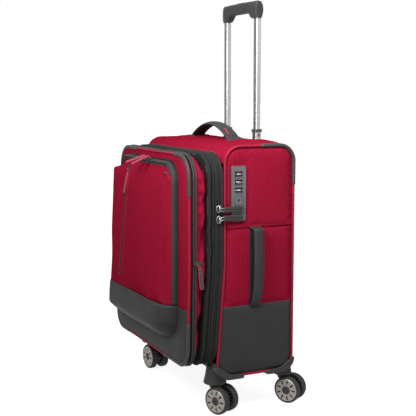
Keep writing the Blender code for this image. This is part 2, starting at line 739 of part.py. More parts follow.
def build_trolley():
    outline = [(0.0700, 0.5005), (0.1047, 0.5005)]
    for k in range(9):
        a = radians(4.0) + (pi / 2 - radians(4.0)) * k / 8
        outline.append((BACK_Y - R_TOP + 0.0358 * cos(a), CASE_TOP - R_TOP + 0.0358 * sin(a)))
    outline[-1] = (0.0700, CASE_TOP - R_TOP + 0.0358)
    bezel = make("handle_bezel", *prism(outline, "X", -0.0960, 0.0960), "dark_plastic")
    for side, word in ((1.0, "right"), (-1.0, "left")):
        x = side * TUBE_X
        hole = rounded_rect(x, TUBE_Y, MIDDLE_W / 2 + 0.0004, MIDDLE_D / 2 + 0.0004, 0.0031)
        boolean(bezel, *prism(hole, "Z", 0.49, 0.55), "DIFFERENCE")
        make("outer_tube_" + word, *square_tube(x, TUBE_Y, OUTER_W, OUTER_D, 0.0011, 0.104, 0.5002, 0.0035),
             "aluminium")
        make("middle_tube_" + word,
             *square_tube(x, TUBE_Y, MIDDLE_W, MIDDLE_D, TUBE_WALL, 0.262, COLLAR_TOP - COLLAR_H - GAP), "aluminium",
             (x, TUBE_Y, 0.262))
        outer = rounded_rect(x, TUBE_Y, 0.0101, 0.0086, 0.0035)
        inner = rounded_rect(x, TUBE_Y, INNER_W / 2 + GAP, INNER_D / 2 + GAP, 0.0023)
        z0 = COLLAR_TOP - COLLAR_H
        collar = make("collar_" + word, *band([
            [(a, b, z0) for a, b in outer],
            [(a, b, COLLAR_TOP) for a, b in outer],
            [(a, b, COLLAR_TOP) for a, b in inner],
            [(a, b, z0) for a, b in inner],
        ]), "dark_plastic", (x, TUBE_Y, z0))
        soften(collar, 0.0006, 1, 60)
        make("inner_tube_" + word, *square_tube(x, TUBE_Y, INNER_W, INNER_D, TUBE_WALL, 0.505, GRIP_BOTTOM - GAP, 0.0022),
             "aluminium", (x, TUBE_Y, 0.505))
    grip = make("grip", *grip_solid(), "grip_plastic", (0.0, TUBE_Y, GRIP_BOTTOM))
    boolean(grip, *box((-0.0153, TUBE_Y - 0.0048, 0.812), (0.0153, TUBE_Y + 0.0048, 0.830)), "DIFFERENCE")
    outline = rounded_rect(0.0, TUBE_Y, 0.0150, 0.0045, 0.002, 3)
    make("grip_button", *prism(outline, "Z", 0.8155, 0.8215), "dark_plastic", (0.0, TUBE_Y, 0.8155))


# ---------------------------------------------------------------- casters
def caster_frame(corner):
    side = 1.0 if corner[1] == "r" else -1.0
    y = CASTER_FRONT_Y if corner[0] == "f" else CASTER_REAR_Y
    return side, side * CASTER_X, y


def build_corner_guard(corner):
    """Moulded corner: a cup for the swivel, a foot under the case and a lip up the side panel."""
    side, x, y = caster_frame(corner)
    front = corner[0] == "f"
    top = HOUSING_TOP if front else CASE_BOTTOM - GAP
    profile = [(CUP_R - 0.0062, CUP_BOTTOM), (CUP_R - 0.0012, CUP_BOTTOM + 0.0006), (CUP_R, 0.0606), (CUP_R - 0.0008, 0.0650),
               (CUP_R - 0.0026, CASE_BOTTOM - GAP)]
    if front:
        profile += [(CUP_R - 0.0042, 0.0810), (CUP_R - 0.0056, 0.0900), (CUP_R - 0.0068, top)]
    guard = make("corner_guard_" + corner, *lathe(profile, 24, "Z", (x, y, 0.0)), "dark_plastic")
    if front:
        boolean(guard, *prism(side_outline(-0.0012, 8), "X", x - 0.05, x + 0.05), "DIFFERENCE")
    else:
        boolean(guard, *box((-0.5, 0.1076, 0.0), (0.5, 0.3, 0.3)), "DIFFERENCE")
    y0, y1 = (-0.0800, -0.0080) if front else (0.0410, 0.1040)
    foot = rounded_rect((y0 + y1) / 2, side * 0.1775, (y1 - y0) / 2, 0.0260, 0.006, 3)
    boolean(guard, *prism([(b, a) for a, b in foot], "Z", 0.0675, CASE_BOTTOM - GAP), "UNION")
    outline = side_outline(-0.0004, 5)
    skirt = []
    for py, pz in outline:
        if pz < 0.0975 and y0 - 0.003 <= py <= y1 + 0.003:
            skirt.append((py, pz))
    skirt.sort()
    if front:
        lip = [(y1, 0.0675), (y1, 0.0770), (-0.0440, 0.0830), (-0.0600, 0.0965), (-0.0735, 0.0965), (-0.0800, 0.0880),
               (-0.0800, 0.0675)]
    else:
        lip = [(y0, 0.0675), (0.1010, 0.0675), (0.1076, 0.0760), (0.1076, 0.0960), (0.0960, 0.0965), (0.0800, 0.0850),
               (0.0500, 0.0820), (y0, 0.0770)]
    lo, hi = sorted((side * 0.2016, side * 0.2042))
    boolean(guard, *prism(lip, "X", lo, hi), "UNION")
    lo, hi = sorted((side * 0.1960, side * 0.2040))
    strip = [(y0 + 0.004, 0.0680), (y1 - 0.004, 0.0680), (y1 - 0.004, CASE_BOTTOM - GAP - 0.0001),
             (y0 + 0.004, CASE_BOTTOM - GAP - 0.0001)]
    boolean(guard, *prism(strip, "X", lo, hi), "UNION")
    return guard


def build_caster(corner):
    """A fork that swivels under its cup and two wheels that turn on the fork's pin."""
    side, x, y = caster_frame(corner)
    turn = radians(CASTER_TURN[corner])
    centre = (x, y, 0.0)
    plate = [(0.0085, 0.0215), (0.0180, 0.0170), (0.0270, 0.0225), (0.0285, 0.0300), (0.0240, 0.0380),
             (0.0140, 0.0460), (0.0110, 0.0577), (-0.0090, 0.0577), (-0.0090, 0.0500)]
    solid = prism([(x + a, b) for a, b in plate], "Y", y - 0.0060, y + 0.0060)
    fork = make("fork_" + corner, *turned(solid, turn, centre), "dark_plastic", (x, y, CUP_BOTTOM), turn)
    cap = lathe([(0.0135, 0.0563), (0.0145, 0.0569), (0.0145, 0.0577)], 20, "Z", centre)
    boolean(fork, *cap, "UNION")
    pin = lathe([(0.0040, -0.0200), (0.0040, 0.0200)], 14, "Y", (x + TRAIL, y, WHEEL_R))
    boolean(fork, *turned(pin, turn, centre), "UNION")
    half = WHEEL_W / 2
    for word, sign in (("near", -1.0), ("far", 1.0)):
        mid = sign * WHEEL_OFFSET
        profile = [(0.0041, -half + 0.0010), (0.0236, -half + 0.0010), (0.0244, -half), (WHEEL_R - 0.0014, -half),
                   (WHEEL_R, -half + 0.0032), (WHEEL_R, half - 0.0032), (WHEEL_R - 0.0014, half), (0.0244, half),
                   (0.0236, half - 0.0010), (0.0041, half - 0.0010)]
        solid = lathe(profile, 28, "Y", (x + TRAIL, y + mid, WHEEL_R), True)
        hub = Vector((x + TRAIL, y + mid, WHEEL_R))
        hub = Matrix.Rotation(turn, 3, "Z") @ (hub - Vector(centre)) + Vector(centre)
        make("wheel_%s_%s" % (corner, word), *turned(solid, turn, centre), "tyre_rubber", tuple(hub), turn)


def centre_on_origin():
    """Move everything so that the middle of the overall box stands on the origin."""
    for obj in bpy.data.objects:
        obj.location.x -= ORIGIN_X
        obj.location.y -= ORIGIN_Y


clear_scene()
build_case()
build_handles()
build_lock()
build_lid()
build_front()
build_pulls()
build_trolley()
for place in ("fr", "fl", "rr", "rl"):
    build_corner_guard(place)
    build_caster(place)
centre_on_origin()
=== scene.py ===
"""Looks of the softside upright suitcase: cloth, trims, zips, lock, trolley handle and casters.

Shapes are written in case coordinates: X across with the case's middle at 0 and the lock at +X, Y from front
to back, Z up. at() and SHIFT move them into the frame's coordinates. Lengths are in metres.
"""
import bpy
import bmesh
from math import atan2, cos, exp, pi, radians, sin, sqrt, tan
import numpy as np
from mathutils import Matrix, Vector, noise
from mathutils.bvhtree import BVHTree


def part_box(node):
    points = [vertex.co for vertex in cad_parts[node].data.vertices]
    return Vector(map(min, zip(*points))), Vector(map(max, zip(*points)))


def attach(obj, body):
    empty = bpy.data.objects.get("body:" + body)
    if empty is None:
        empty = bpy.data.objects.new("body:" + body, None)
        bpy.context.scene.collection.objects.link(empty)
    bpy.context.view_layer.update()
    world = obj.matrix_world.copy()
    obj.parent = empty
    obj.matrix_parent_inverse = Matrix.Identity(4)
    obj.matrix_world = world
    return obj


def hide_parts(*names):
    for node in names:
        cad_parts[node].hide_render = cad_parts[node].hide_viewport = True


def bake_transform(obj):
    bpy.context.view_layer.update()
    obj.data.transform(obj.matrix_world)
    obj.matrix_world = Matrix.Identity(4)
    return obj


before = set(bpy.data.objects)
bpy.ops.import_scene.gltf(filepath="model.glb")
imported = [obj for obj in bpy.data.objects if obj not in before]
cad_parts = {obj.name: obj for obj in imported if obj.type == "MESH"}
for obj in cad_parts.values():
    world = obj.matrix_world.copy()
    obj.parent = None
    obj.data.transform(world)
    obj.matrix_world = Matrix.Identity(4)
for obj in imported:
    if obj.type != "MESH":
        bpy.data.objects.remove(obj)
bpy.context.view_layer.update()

# ------------------------------------------------------------------ places taken from the frame
HALF_W = (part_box("side_panel_right")[1].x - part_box("side_panel_left")[0].x) / 2
CX = (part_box("side_panel_right")[1].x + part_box("side_panel_left")[0].x) / 2
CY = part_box("back_panel")[1].y - 0.104
BAND_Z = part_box("side_band_right")[1].z
FRONT_Y = -0.0545                    # front edge of the case's sides, above the lean
LEAN = 0.0155                        # how far that edge comes forward at the front frame's foot
LEAN_Z = 0.300                       # height where the lean starts
CASE_BOTTOM, CASE_TOP = 0.073, 0.533
BACK_Y = 0.104
R_TOP, R_BOTTOM = 0.035, 0.030       # corners of the side panels
RING_Z0, RING_Z1 = 0.099, 0.517      # foot and top of the front frame's outline
RING_R_TOP, RING_R_BOTTOM = 0.049, 0.040
GUSSET_Y = -0.0885                   # the gusset's rear and front edges
MOUTH_Y = -0.1105
PANEL_BACK_Y, PANEL_FRONT_Y = -0.118, -0.128
FRONT_LEAN = 0.004                   # lean of the front panel
POCKET_HALF_W = 0.153
POCKET_Z0, POCKET_Z1 = 0.139, 0.499
CLOTH_HALF_W = 0.1957                # half width of the top, back and bottom cloths, inside the piping
TOP_REAR_Y = 0.0669                  # rear edge of the top cloth
SEWN = 0.004                         # sewn edge that the cloth runs hold still
PIPING_X = 0.1985                    # middle of the side piping, its cord and its charcoal sleeve
PIPING_R, SLEEVE_R = 0.0026, 0.0036
SIDE_BACK_X = 0.1950                 # back of the side cloths
PADDING = 0.0052                     # thickness of the top and back cloths
SIDE_INSET = 0.0032                  # gap from the outlines to the side and front cloths
FRONT_INSET = 0.0058
CLOTH_ROUGHNESS = 0.83
HANDLE_X, HANDLE_Y, HANDLE_SPAN = 0.006, 0.0200, 0.086      # the top handle's middle and half its span
SHIFT = np.array((CX, CY, 0.0))      # from case coordinates to the frame's
X, Y, Z = Vector((1, 0, 0)), Vector((0, 1, 0)), Vector((0, 0, 1))
# bodies whose pieces lean back with the front compartment; "" is its gusset
LEANING = ("", "front_cover", "pocket_pull_left", "pocket_pull_right")


def at(x, y, z):
    return Vector((x + CX, y + CY, z))


# ------------------------------------------------------------------ materials
def new_material(name):
    mat = bpy.data.materials.new(name)
    mat.use_nodes = True
    return mat, mat.node_tree, mat.node_tree.nodes["Principled BSDF"]


def plug(nt, n, inputs):
    """Links the sockets and sets the plain values given for a node's inputs."""
    for key, value in inputs.items():
        if isinstance(value, bpy.types.NodeSocket):
            nt.links.new(value, n.inputs[key])
        else:
            n.inputs[key].default_value = value


def node(nt, kind, inputs, **props):
    n = nt.nodes.new(kind)
    for key, value in props.items():
        setattr(n, key, value)
    plug(nt, n, inputs)
    return n


def add(nt, a, b):
    return node(nt, "ShaderNodeMath", {0: a, 1: b}, operation="ADD").outputs[0]


def times(nt, a, b):
    return node(nt, "ShaderNodeMath", {0: a, 1: b}, operation="MULTIPLY").outputs[0]


def wave(nt, value, length):
    """A sine wave between 0 and 1."""
    turn = node(nt, "ShaderNodeMath", {0: times(nt, value, 2 * pi / length)}, operation="SINE").outputs[0]
    return add(nt, times(nt, turn, 0.5), 0.5)


def mix_colour(nt, fac, a, b):
    a, b = (c if isinstance(c, bpy.types.NodeSocket) else (*c, 1.0) for c in (a, b))
    return node(nt, "ShaderNodeMix", {0: fac, 6: a, 7: b}, data_type="RGBA").outputs[2]


def shade(colour, factor, extra=0.0):
    return tuple(min(c * factor + extra, 1.0) for c in colour)


def coords(nt, uv):
    return nt.nodes.new("ShaderNodeTexCoord").outputs["UV" if uv else "Object"]


def noise_tex(nt, vector, scale, detail=3.0, rough=0.55):
    inputs = {"Vector": vector, "Scale": scale, "Detail": detail, "Roughness": rough}
    return node(nt, "ShaderNodeTexNoise", inputs).outputs["Fac"]


def bump(nt, height, strength, distance, below=None):
    inputs = {"Height": height, "Strength": strength, "Distance": distance}
    if below is not None:
        inputs["Normal"] = below
    return node(nt, "ShaderNodeBump", inputs).outputs["Normal"]


def cloth_material(name, colour, dark, pitch=0.00085, rib=0.0036, sheen=0.02, rib_depth=0.55, tone=0.30,
                   spec=0.03):
    """Woven polyester: a two-thread weave, soft ribs along V and cloudy tone; UVs are in metres."""
    mat, nt, bsdf = new_material(name)
    uv = coords(nt, True)
    sep = node(nt, "ShaderNodeSeparateXYZ", {0: uv})
    u, v = sep.outputs[0], sep.outputs[1]
    turns = [node(nt, "ShaderNodeMath", {0: times(nt, k, 2 * pi / pitch)}, operation="SINE").outputs[0]
             for k in (u, v)]
    weave = add(nt, times(nt, times(nt, *turns), 0.5), 0.5)
    wob = noise_tex(nt, uv, 60.0, 2.0)
    phase = add(nt, times(nt, u, 2 * pi / rib), times(nt, wob, 5.0))
    ribs = wave(nt, phase, 2 * pi)
    diag = wave(nt, add(nt, u, times(nt, v, 1.6)), pitch * 4.2)
    cloud = noise_tex(nt, uv, 14.0, 4.0, 0.6)
    fibre = noise_tex(nt, uv, 1400.0, 2.0, 0.6)
    base = mix_colour(nt, cloud, dark, colour)
    base = mix_colour(nt, times(nt, weave, 0.28), base, shade(colour, 1.55, 0.001))
    base = mix_colour(nt, times(nt, ribs, tone), base, shade(dark, 0.55))
    base = mix_colour(nt, times(nt, diag, 0.12), base, shade(dark, 0.7))
    height = add(nt, times(nt, weave, 0.55), times(nt, fibre, 0.25))
    height = add(nt, height, times(nt, diag, 0.2))
    plug(nt, bsdf, {
        "Base Color": base,
        "Normal": bump(nt, ribs, rib_depth, 0.00016, bump(nt, height, 0.55, 0.00012)),
        "Roughness": add(nt, times(nt, cloud, 0.10), CLOTH_ROUGHNESS),
        "Sheen Weight": sheen,
        "Sheen Roughness": 0.45,
        "Sheen Tint": (*shade(colour, 2.0, 0.05), 1.0),
        "Specular IOR Level": spec,
    })
    return mat


def grain_material(name, colour, rough=0.5, grain=900.0, depth=0.00010, spec=0.4, wear=0.35, uv=False):
    """Moulded plastic or coated cloth: fine pebbled grain, scuffed tone and paler worn edges."""
    mat, nt, bsdf = new_material(name)
    vec = coords(nt, uv)
    pebble = node(nt, "ShaderNodeTexVoronoi", {"Vector": vec, "Scale": grain},
                  feature="SMOOTH_F1").outputs["Distance"]
    fine = noise_tex(nt, vec, grain * 2.2, 3.0)
    cloud = noise_tex(nt, vec, 11.0, 5.0, 0.62)
    scuff = noise_tex(nt, vec, 160.0, 4.0, 0.7)
    base = mix_colour(nt, cloud, shade(colour, 0.80), shade(colour, 1.35, 0.004))
    base = mix_colour(nt, times(nt, pebble, 0.25), base, shade(colour, 0.6))
    corner = nt.nodes.new("ShaderNodeNewGeometry").outputs["Pointiness"]
    edge = node(nt, "ShaderNodeMapRange", {"Value": corner, "From Min": 0.52, "From Max": 0.60}).outputs[0]
    base = mix_colour(nt, times(nt, times(nt, edge, scuff), wear), base, shade(colour, 2.6, 0.03))
    height = add(nt, times(nt, pebble, 0.7), times(nt, fine, 0.3))
    plug(nt, bsdf, {
        "Base Color": base,
        "Normal": bump(nt, height, 0.6, depth),
        "Roughness": add(nt, times(nt, scuff, 0.22), rough - 0.11),
        "Specular IOR Level": spec,
    })
    return mat


def ribbed_material(name, colour, pitch, rough=0.7, along_u=True, depth=0.0003, spec=0.06):
    """Zip tape, webbing or coil: fine cross ribs over a woven ground; UVs are in metres."""
    mat, nt, bsdf = new_material(name)
    uv = coords(nt, True)
    sep = node(nt, "ShaderNodeSeparateXYZ", {0: uv})
    rib = wave(nt, sep.outputs[0 if along_u else 1], pitch)
    cross = wave(nt, sep.outputs[1 if along_u else 0], pitch * 0.7)
    base = mix_colour(nt, noise_tex(nt, uv, 30.0, 4.0), shade(colour, 0.75), shade(colour, 1.3, 0.003))
    plug(nt, bsdf, {
        "Base Color": mix_colour(nt, times(nt, rib, 0.35), base, shade(colour, 0.5)),
        "Normal": bump(nt, add(nt, times(nt, rib, 0.7), times(nt, cross, 0.3)), 0.7, depth),
        "Roughness": rough,
        "Specular IOR Level": spec,
    })
    return mat


def metal_material(name, colour, rough=0.32, stretch=(1.0, 1.0, 0.02), scale=700.0, uv=False):
    """Brushed or anodised metal with fine lines along one direction and a few handling marks."""
    mat, nt, bsdf = new_material(name)
    mapping = node(nt, "ShaderNodeMapping", {0: coords(nt, uv), "Scale": stretch})
    line = noise_tex(nt, mapping.outputs[0], scale, 4.0, 0.7)
    mark = noise_tex(nt, coords(nt, False), 45.0, 5.0, 0.65)
    worn = add(nt, times(nt, mark, 0.16), rough - 0.08)
    plug(nt, bsdf, {
        "Base Color": mix_colour(nt, line, shade(colour, 0.82), shade(colour, 1.12)),
        "Normal": bump(nt, line, 0.25, 0.00006),
        "Roughness": add(nt, worn, times(nt, line, 0.10)),
        "Metallic": 1.0,
    })
    return mat


RED = (0.1300, 0.0038, 0.0138)
RED_DARK = (0.1050, 0.0031, 0.0111)
M = {
    "red": cloth_material("red_weave", RED, RED_DARK, rib=0.0052, sheen=0.0, rib_depth=0.95, tone=0.42,
                          spec=0.0),
    "red_soft": cloth_material("red_gusset_cloth", RED, RED_DARK, rib=0.0024, sheen=0.0, rib_depth=0.25,
                               tone=0.15, spec=0.0),
    "lining": cloth_material("lining_cloth", (0.0096, 0.0096, 0.0099), (0.0060, 0.0060, 0.0063), rib=0.010,
                             spec=0.06),
    "char_cloth": cloth_material("charcoal_cloth", (0.0120, 0.0121, 0.0120), (0.0084, 0.0085, 0.0084),
                                 pitch=0.0011, spec=0.06),
    "char": grain_material("charcoal_coated", (0.0128, 0.0131, 0.0127), 0.60, 900.0, 0.00010, 0.10, 0.25,
                           uv=True),
    "pipe_char": grain_material("charcoal_binding", (0.0165, 0.0168, 0.0165), 0.52, 700.0, 0.00008, 0.16,
                                0.3, uv=True),
    "pipe_red": ribbed_material("red_binding", (0.1430, 0.0043, 0.0157), 0.0012, 0.6, True, 0.00012),
    "tape": ribbed_material("zip_tape", (0.0080, 0.0081, 0.0080), 0.0011, 0.72, spec=0.03),
    "coil": ribbed_material("zip_coil", (0.0060, 0.0061, 0.0060), 0.0016, 0.5, True, 0.0005, 0.06),
    "thread_red": ribbed_material("red_thread", (0.2550, 0.0105, 0.0315), 0.0005, 0.55, spec=0.12),
    "thread_dark": ribbed_material("dark_thread", (0.0288, 0.0288, 0.0285), 0.0005, 0.55, spec=0.15),
    "plastic": grain_material("moulded_plastic", (0.0135, 0.0137, 0.0133), 0.48, 1300.0, 0.00005, 0.18,
                              0.5),
    "grip": grain_material("grip_plastic_look", (0.0080, 0.0081, 0.0080), 0.45, 1500.0, 0.00005, 0.14, 0.4),
    "lock": grain_material("lock_plastic_look", (0.0350, 0.0356, 0.0346), 0.42, 1600.0, 0.00004, 0.28, 0.5),
    "tyre": grain_material("tyre_rubber_look", (0.0144, 0.0146, 0.0144), 0.66, 1100.0, 0.00006, 0.14, 0.4),
    "alu": metal_material("anodised_tube", (0.3700, 0.3700, 0.3600), 0.40),
    # the tubes' anodised metal darkened: painted shade for the tubes' front and back faces
    "alu_painted_shade": metal_material("anodised_channel", (0.0945, 0.0959, 0.0931), 0.42),
    "disc": metal_material("disc_metal", (0.2550, 0.2363, 0.2063), 0.38, (1.0, 0.015, 1.0), 2600.0, True),
    "dark_metal": metal_material("dark_metal", (0.0350, 0.0350, 0.0350), 0.38, (1.0, 1.0, 1.0), 500.0),
    "bright_metal": metal_material("bright_metal", (0.2700, 0.2700, 0.2700), 0.34, (1.0, 1.0, 1.0), 500.0),
    "pull": grain_material("pull_rubber", (0.1900, 0.0110, 0.0300), 0.55, 1200.0, 0.00004, 0.15, 0.2),
    "pull_dark": grain_material("pull_core_rubber", (0.0228, 0.0230, 0.0228), 0.5, 1200.0, 0.00005, 0.2,
                                0.3),
    "digit": grain_material("digit_paint", (0.5400, 0.5400, 0.5220), 0.5, 900.0, 0.00002, 0.25, 0.0),
    # near-black for the insides of holes, slots and the lock's dial windows: painted shade
    "painted_shade_black": grain_material("shadow_plastic", (0.0024, 0.0024, 0.0024), 0.7, 1200.0, 0.00004, 0.10, 0.0),
}


# ------------------------------------------------------------------ mesh tools
def lengths(path):
    """Distance along a path to each of its points."""
    steps = np.diff(np.asarray(path, float), axis=0)
    return np.concatenate([[0], np.cumsum(np.linalg.norm(steps, axis=1))])


def uv_grid(a, b):
    """Every pair of a value from a and a value from b."""
    return np.stack(np.broadcast_arrays(np.asarray(a)[:, None], np.asarray(b)[None, :]), -1)


def side_patch(x, ys, zs):
    """A patch that faces sideways, with an x for each pair of y and z."""
    return np.stack(np.broadcast_arrays(x, ys[:, None], zs[None, :]), -1)


def eased(count, share):
    """Places from 0 to 1; the larger the share, the closer they stand near both ends."""
    t = np.linspace(0, 1, count)
    return share * (1 - np.cos(pi * t)) / 2 + (1 - share) * t


def open_run(keep):
    """Indices of the one stretch of a closed path where keep holds, in order along it."""
    idx = np.nonzero(keep)[0]
    jump = np.nonzero(np.diff(idx) > 1)[0]
    if len(jump):
        idx = np.concatenate([idx[jump[0] + 1:], idx[:jump[0] + 1]])
    return idx


def rect(axis, level, a0, b0, a1, b1):
    """Corners of a rectangle at one level of an axis, from (a0, b0) to (a1, b1) along the other two axes."""
    corners = [[a0, b0], [a1, b0], [a1, b1], [a0, b1]]
    for corner in corners:
        corner.insert(axis, level)
    return corners


def edge_margin(us, vs):
    """Distance from each point of a rectangular patch to its nearest edge."""
    return np.minimum.outer(np.minimum(us - us[0], us[-1] - us), np.minimum(vs - vs[0], vs[-1] - vs))


def surface_tree(grid):
    return BVHTree.FromPolygons([tuple(p) for p in grid.reshape(-1, 3)], sheet_faces(*grid.shape[:2]))


def lean_back(p):
    """Leans the loose front compartment back at its far top corner; the pocket's face stays in place."""
    x, y, z = p[:, 0], p[:, 1], p[:, 2]
    amount = 0.0100 * smooth01(-x / 0.19) * smooth01((z - 0.13) / 0.33)
    weight = np.clip((GUSSET_Y - y) / 0.022, 0, 1) * np.clip((y + 0.150) / 0.020, 0, 1)
    q = p.copy()
    q[:, 1] += amount * weight
    return q


def build(name, verts, faces, mat, uvs=None, body="case", smooth=True, shift=True):
    """A mesh piece in case coordinates that rides on a body; uvs holds one (u, v) for each vertex."""
    mesh = bpy.data.meshes.new(name)
    co = np.asarray(verts, float) + (SHIFT if shift else 0.0)
    if body in LEANING:
        co = lean_back(co - SHIFT) + SHIFT
    mesh.from_pydata(co.tolist(), [], faces)
    if uvs is not None:
        layer = mesh.uv_layers.new(name="metres")
        idx = np.empty(len(mesh.loops), int)
        mesh.loops.foreach_get("vertex_index", idx)
        layer.data.foreach_set("uv", np.asarray(uvs, float)[idx].ravel())
    bm = bmesh.new()
    bm.from_mesh(mesh)
    bmesh.ops.recalc_face_normals(bm, faces=bm.faces)
    if bm.calc_volume(signed=True) < 0:
        bmesh.ops.reverse_faces(bm, faces=bm.faces)
    bm.to_mesh(mesh)
    bm.free()
    mesh.materials.append(mat)
    if smooth:
        mesh.polygons.foreach_set("use_smooth", [True] * len(mesh.polygons))
    obj = bpy.data.objects.new(name, mesh)
    bpy.context.scene.collection.objects.link(obj)
    if body:
        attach(obj, body)
    return obj


def sheet_faces(rows, cols, offset=0, flip=False, close=False):
    faces = []
    for r in range(rows - 1 + (1 if close else 0)):
        r2 = (r + 1) % rows
        for c in range(cols - 1):
            q = (offset + r * cols + c, offset + r * cols + c + 1, offset + r2 * cols + c + 1,
                 offset + r2 * cols + c)
            faces.append(q[::-1] if flip else q)
    return faces


def slab(name, front, back, mat, body, uv):
    """A closed padded panel from two grids of the same size; uv is a grid of metres."""
    rows, cols = front.shape[:2]
    verts = np.concatenate([front.reshape(-1, 3), back.reshape(-1, 3)])
    uvs = np.concatenate([uv.reshape(-1, 2), uv.reshape(-1, 2)])
    n = rows * cols
    faces = sheet_faces(rows, cols) + sheet_faces(rows, cols, n, True)
    rim = [c for c in range(cols)] + [r * cols + cols - 1 for r in range(1, rows)]
    rim += [(rows - 1) * cols + c
            for c in reversed(range(cols - 1))] + [r * cols for r in reversed(range(1, rows - 1))]
    for i in range(len(rim)):
        a, b = rim[i], rim[(i + 1) % len(rim)]
        faces.append((b, a, n + a, n + b))
    return build(name, verts, faces, mat, uvs, body)


def loop_sweep(name, stations, mat, body, uvs, closed=True):
    """Closed cross-sections (stations x points x 3) joined along a path, capped where the path is open."""
    m, k = stations.shape[:2]
    verts = stations.reshape(-1, 3)
    faces = []
    for i in range(m if closed else m - 1):
        j = (i + 1) % m
        for c in range(k):
            d = (c + 1) % k
            faces.append((i * k + c, i * k + d, j * k + d, j * k + c))
    if not closed:
        faces.append(tuple(reversed(range(k))))
        faces.append(tuple((m - 1) * k + c for c in range(k)))
    return build(name, verts, faces, mat, uvs.reshape(-1, 2), body)


def cord_sweep(name, path, radius, mat, body, closed=False, sides=10, flange=None):
    """A round cord along a path of points, with a vector roughly normal to its bends in flange."""
    p = np.asarray(path, float)
    if closed:
        t = np.roll(p, -1, 0) - np.roll(p, 1, 0)
    else:
        t = np.gradient(p, axis=0)
    t /= np.linalg.norm(t, axis=1)[:, None]
    up = np.tile(np.asarray(flange if flange is not None else (0, 0, 1.0), float), (len(p), 1))
    a = np.cross(up, t)
    a /= np.linalg.norm(a, axis=1)[:, None]
    b = np.cross(t, a)
    r = np.broadcast_to(np.asarray(radius, float), (len(p),))
    ang = 2 * pi * np.arange(sides) / sides
    st = p[:, None, :] + r[:, None, None] * (a[:, None, :] * np.cos(ang)[None, :, None]
                                             + b[:, None, :] * np.sin(ang)[None, :, None])
    d = lengths(p)
    uv = uv_grid(d, ang * float(np.mean(r)))
    return loop_sweep(name, st, mat, body, uv, closed)


def resample(points, step=None, count=None, closed=True):
    """Evenly spaced points along a path, and their distances along it."""
    p = np.asarray(points, float)
    q = np.vstack([p, p[:1]]) if closed else p
    keep = np.concatenate([[True], np.linalg.norm(np.diff(q, axis=0), axis=1) > 1e-7])
    q = q[keep]
    d = lengths(q)
    n = count or max(int(round(d[-1] / step)), 8)
    s = np.linspace(0, d[-1], n, endpoint=not closed)
    return np.stack([np.interp(s, d, q[:, k]) for k in range(q.shape[1])], 1), s


def fillet_polygon(points, radii, inset=0.0, steps=12):
    """Offset a counter-clockwise polygon inwards by inset and round its corners."""
    count = len(points)
    edges = []
    for i in range(count):
        a = Vector(points[i])
        b = Vector(points[(i + 1) % count])
        d = (b - a).normalized()
        edges.append((a + Vector((-d.y, d.x)) * inset, d))
    out = []
    for i in range(count):
        p, d = edges[i - 1]
        q, e = edges[i]
        cross = d.x * e.y - d.y * e.x
        t = ((q.x - p.x) * e.y - (q.y - p.y) * e.x) / cross
        c = p + d * t
        r = radii[i] - inset
        if radii[i] <= 0.0 or r <= 1e-5:
            out.append((c.x, c.y))
            continue
        half = atan2(cross, d.dot(e)) / 2.0
        centre = c - d * (r * tan(half)) + Vector((-d.y, d.x)) * r
        start = atan2(-d.x, d.y)
        for k in range(steps + 1):
            a = start + 2.0 * half * k / steps
            out.append((centre.x + r * cos(a), centre.y + r * sin(a)))
    return out


def swell(z, amount):
    """How far a front edge comes forward at a height, towards amount at the front frame's foot."""
    return amount * np.clip((LEAN_Z - np.asarray(z, float)) / (LEAN_Z - RING_Z0), 0.0, 1.15)


def side_outline(inset=0.0, steps=14):
    """Outline of the case seen from the side, as (y, z)."""
    slope = LEAN / (LEAN_Z - RING_Z0)
    foot = FRONT_Y - slope * (LEAN_Z - CASE_BOTTOM)
    pts = [(foot, CASE_BOTTOM), (BACK_Y, CASE_BOTTOM), (BACK_Y, CASE_TOP), (FRONT_Y, CASE_TOP),
           (FRONT_Y, LEAN_Z)]
    return fillet_polygon(pts, [R_BOTTOM, R_BOTTOM, R_TOP, R_TOP, 0.0], inset, steps)


def rounded_box(hw, z0, z1, r0, r1, inset=0.0, steps=14):
    pts = [(-hw, z0), (hw, z0), (hw, z1), (-hw, z1)]
    return fillet_polygon(pts, [r0, r0, r1, r1], inset, steps)


def outward(p):
    """Unit normals of a closed counter-clockwise outline of points in a plane."""
    t = np.roll(p, -1, 0) - np.roll(p, 1, 0)
    t /= np.linalg.norm(t, axis=1)[:, None]
    return np.stack([t[:, 1], -t[:, 0]], 1)


def ring_path(step=0.003):
    pts, s = resample(rounded_box(HALF_W, RING_Z0, RING_Z1, RING_R_BOTTOM, RING_R_TOP), step)
    return pts, outward(pts), s


def fbm(x, y, z):
    """Three octaves of noise."""
    total, amp, f = 0.0, 1.0, 1.0
    for _ in range(3):
        total += amp * noise.noise(Vector((x * f, y * f, z * f)))
        amp *= 0.5
        f *= 2.1
    return total


def clouds(a, b, scale, seed):
    """Noise over a grid of two coordinates; a larger scale gives smaller clouds."""
    points = np.stack([a, b, b * 0], -1) * scale + seed
    return np.array([fbm(*p) for p in points.reshape(-1, 3)]).reshape(a.shape)


def bell(x, middle, width):
    return np.exp(-((x - middle) / width) ** 2)


def smooth01(t):
    """Eases from 0 to 1 and stays there."""
    t = np.clip(t, 0.0, 1.0)
    return t * t * (3 - 2 * t)


STITCHES = {}        # (body, thread) to the points and faces of its stitches
SURFACES = {}        # finished cloths that later pieces are laid on


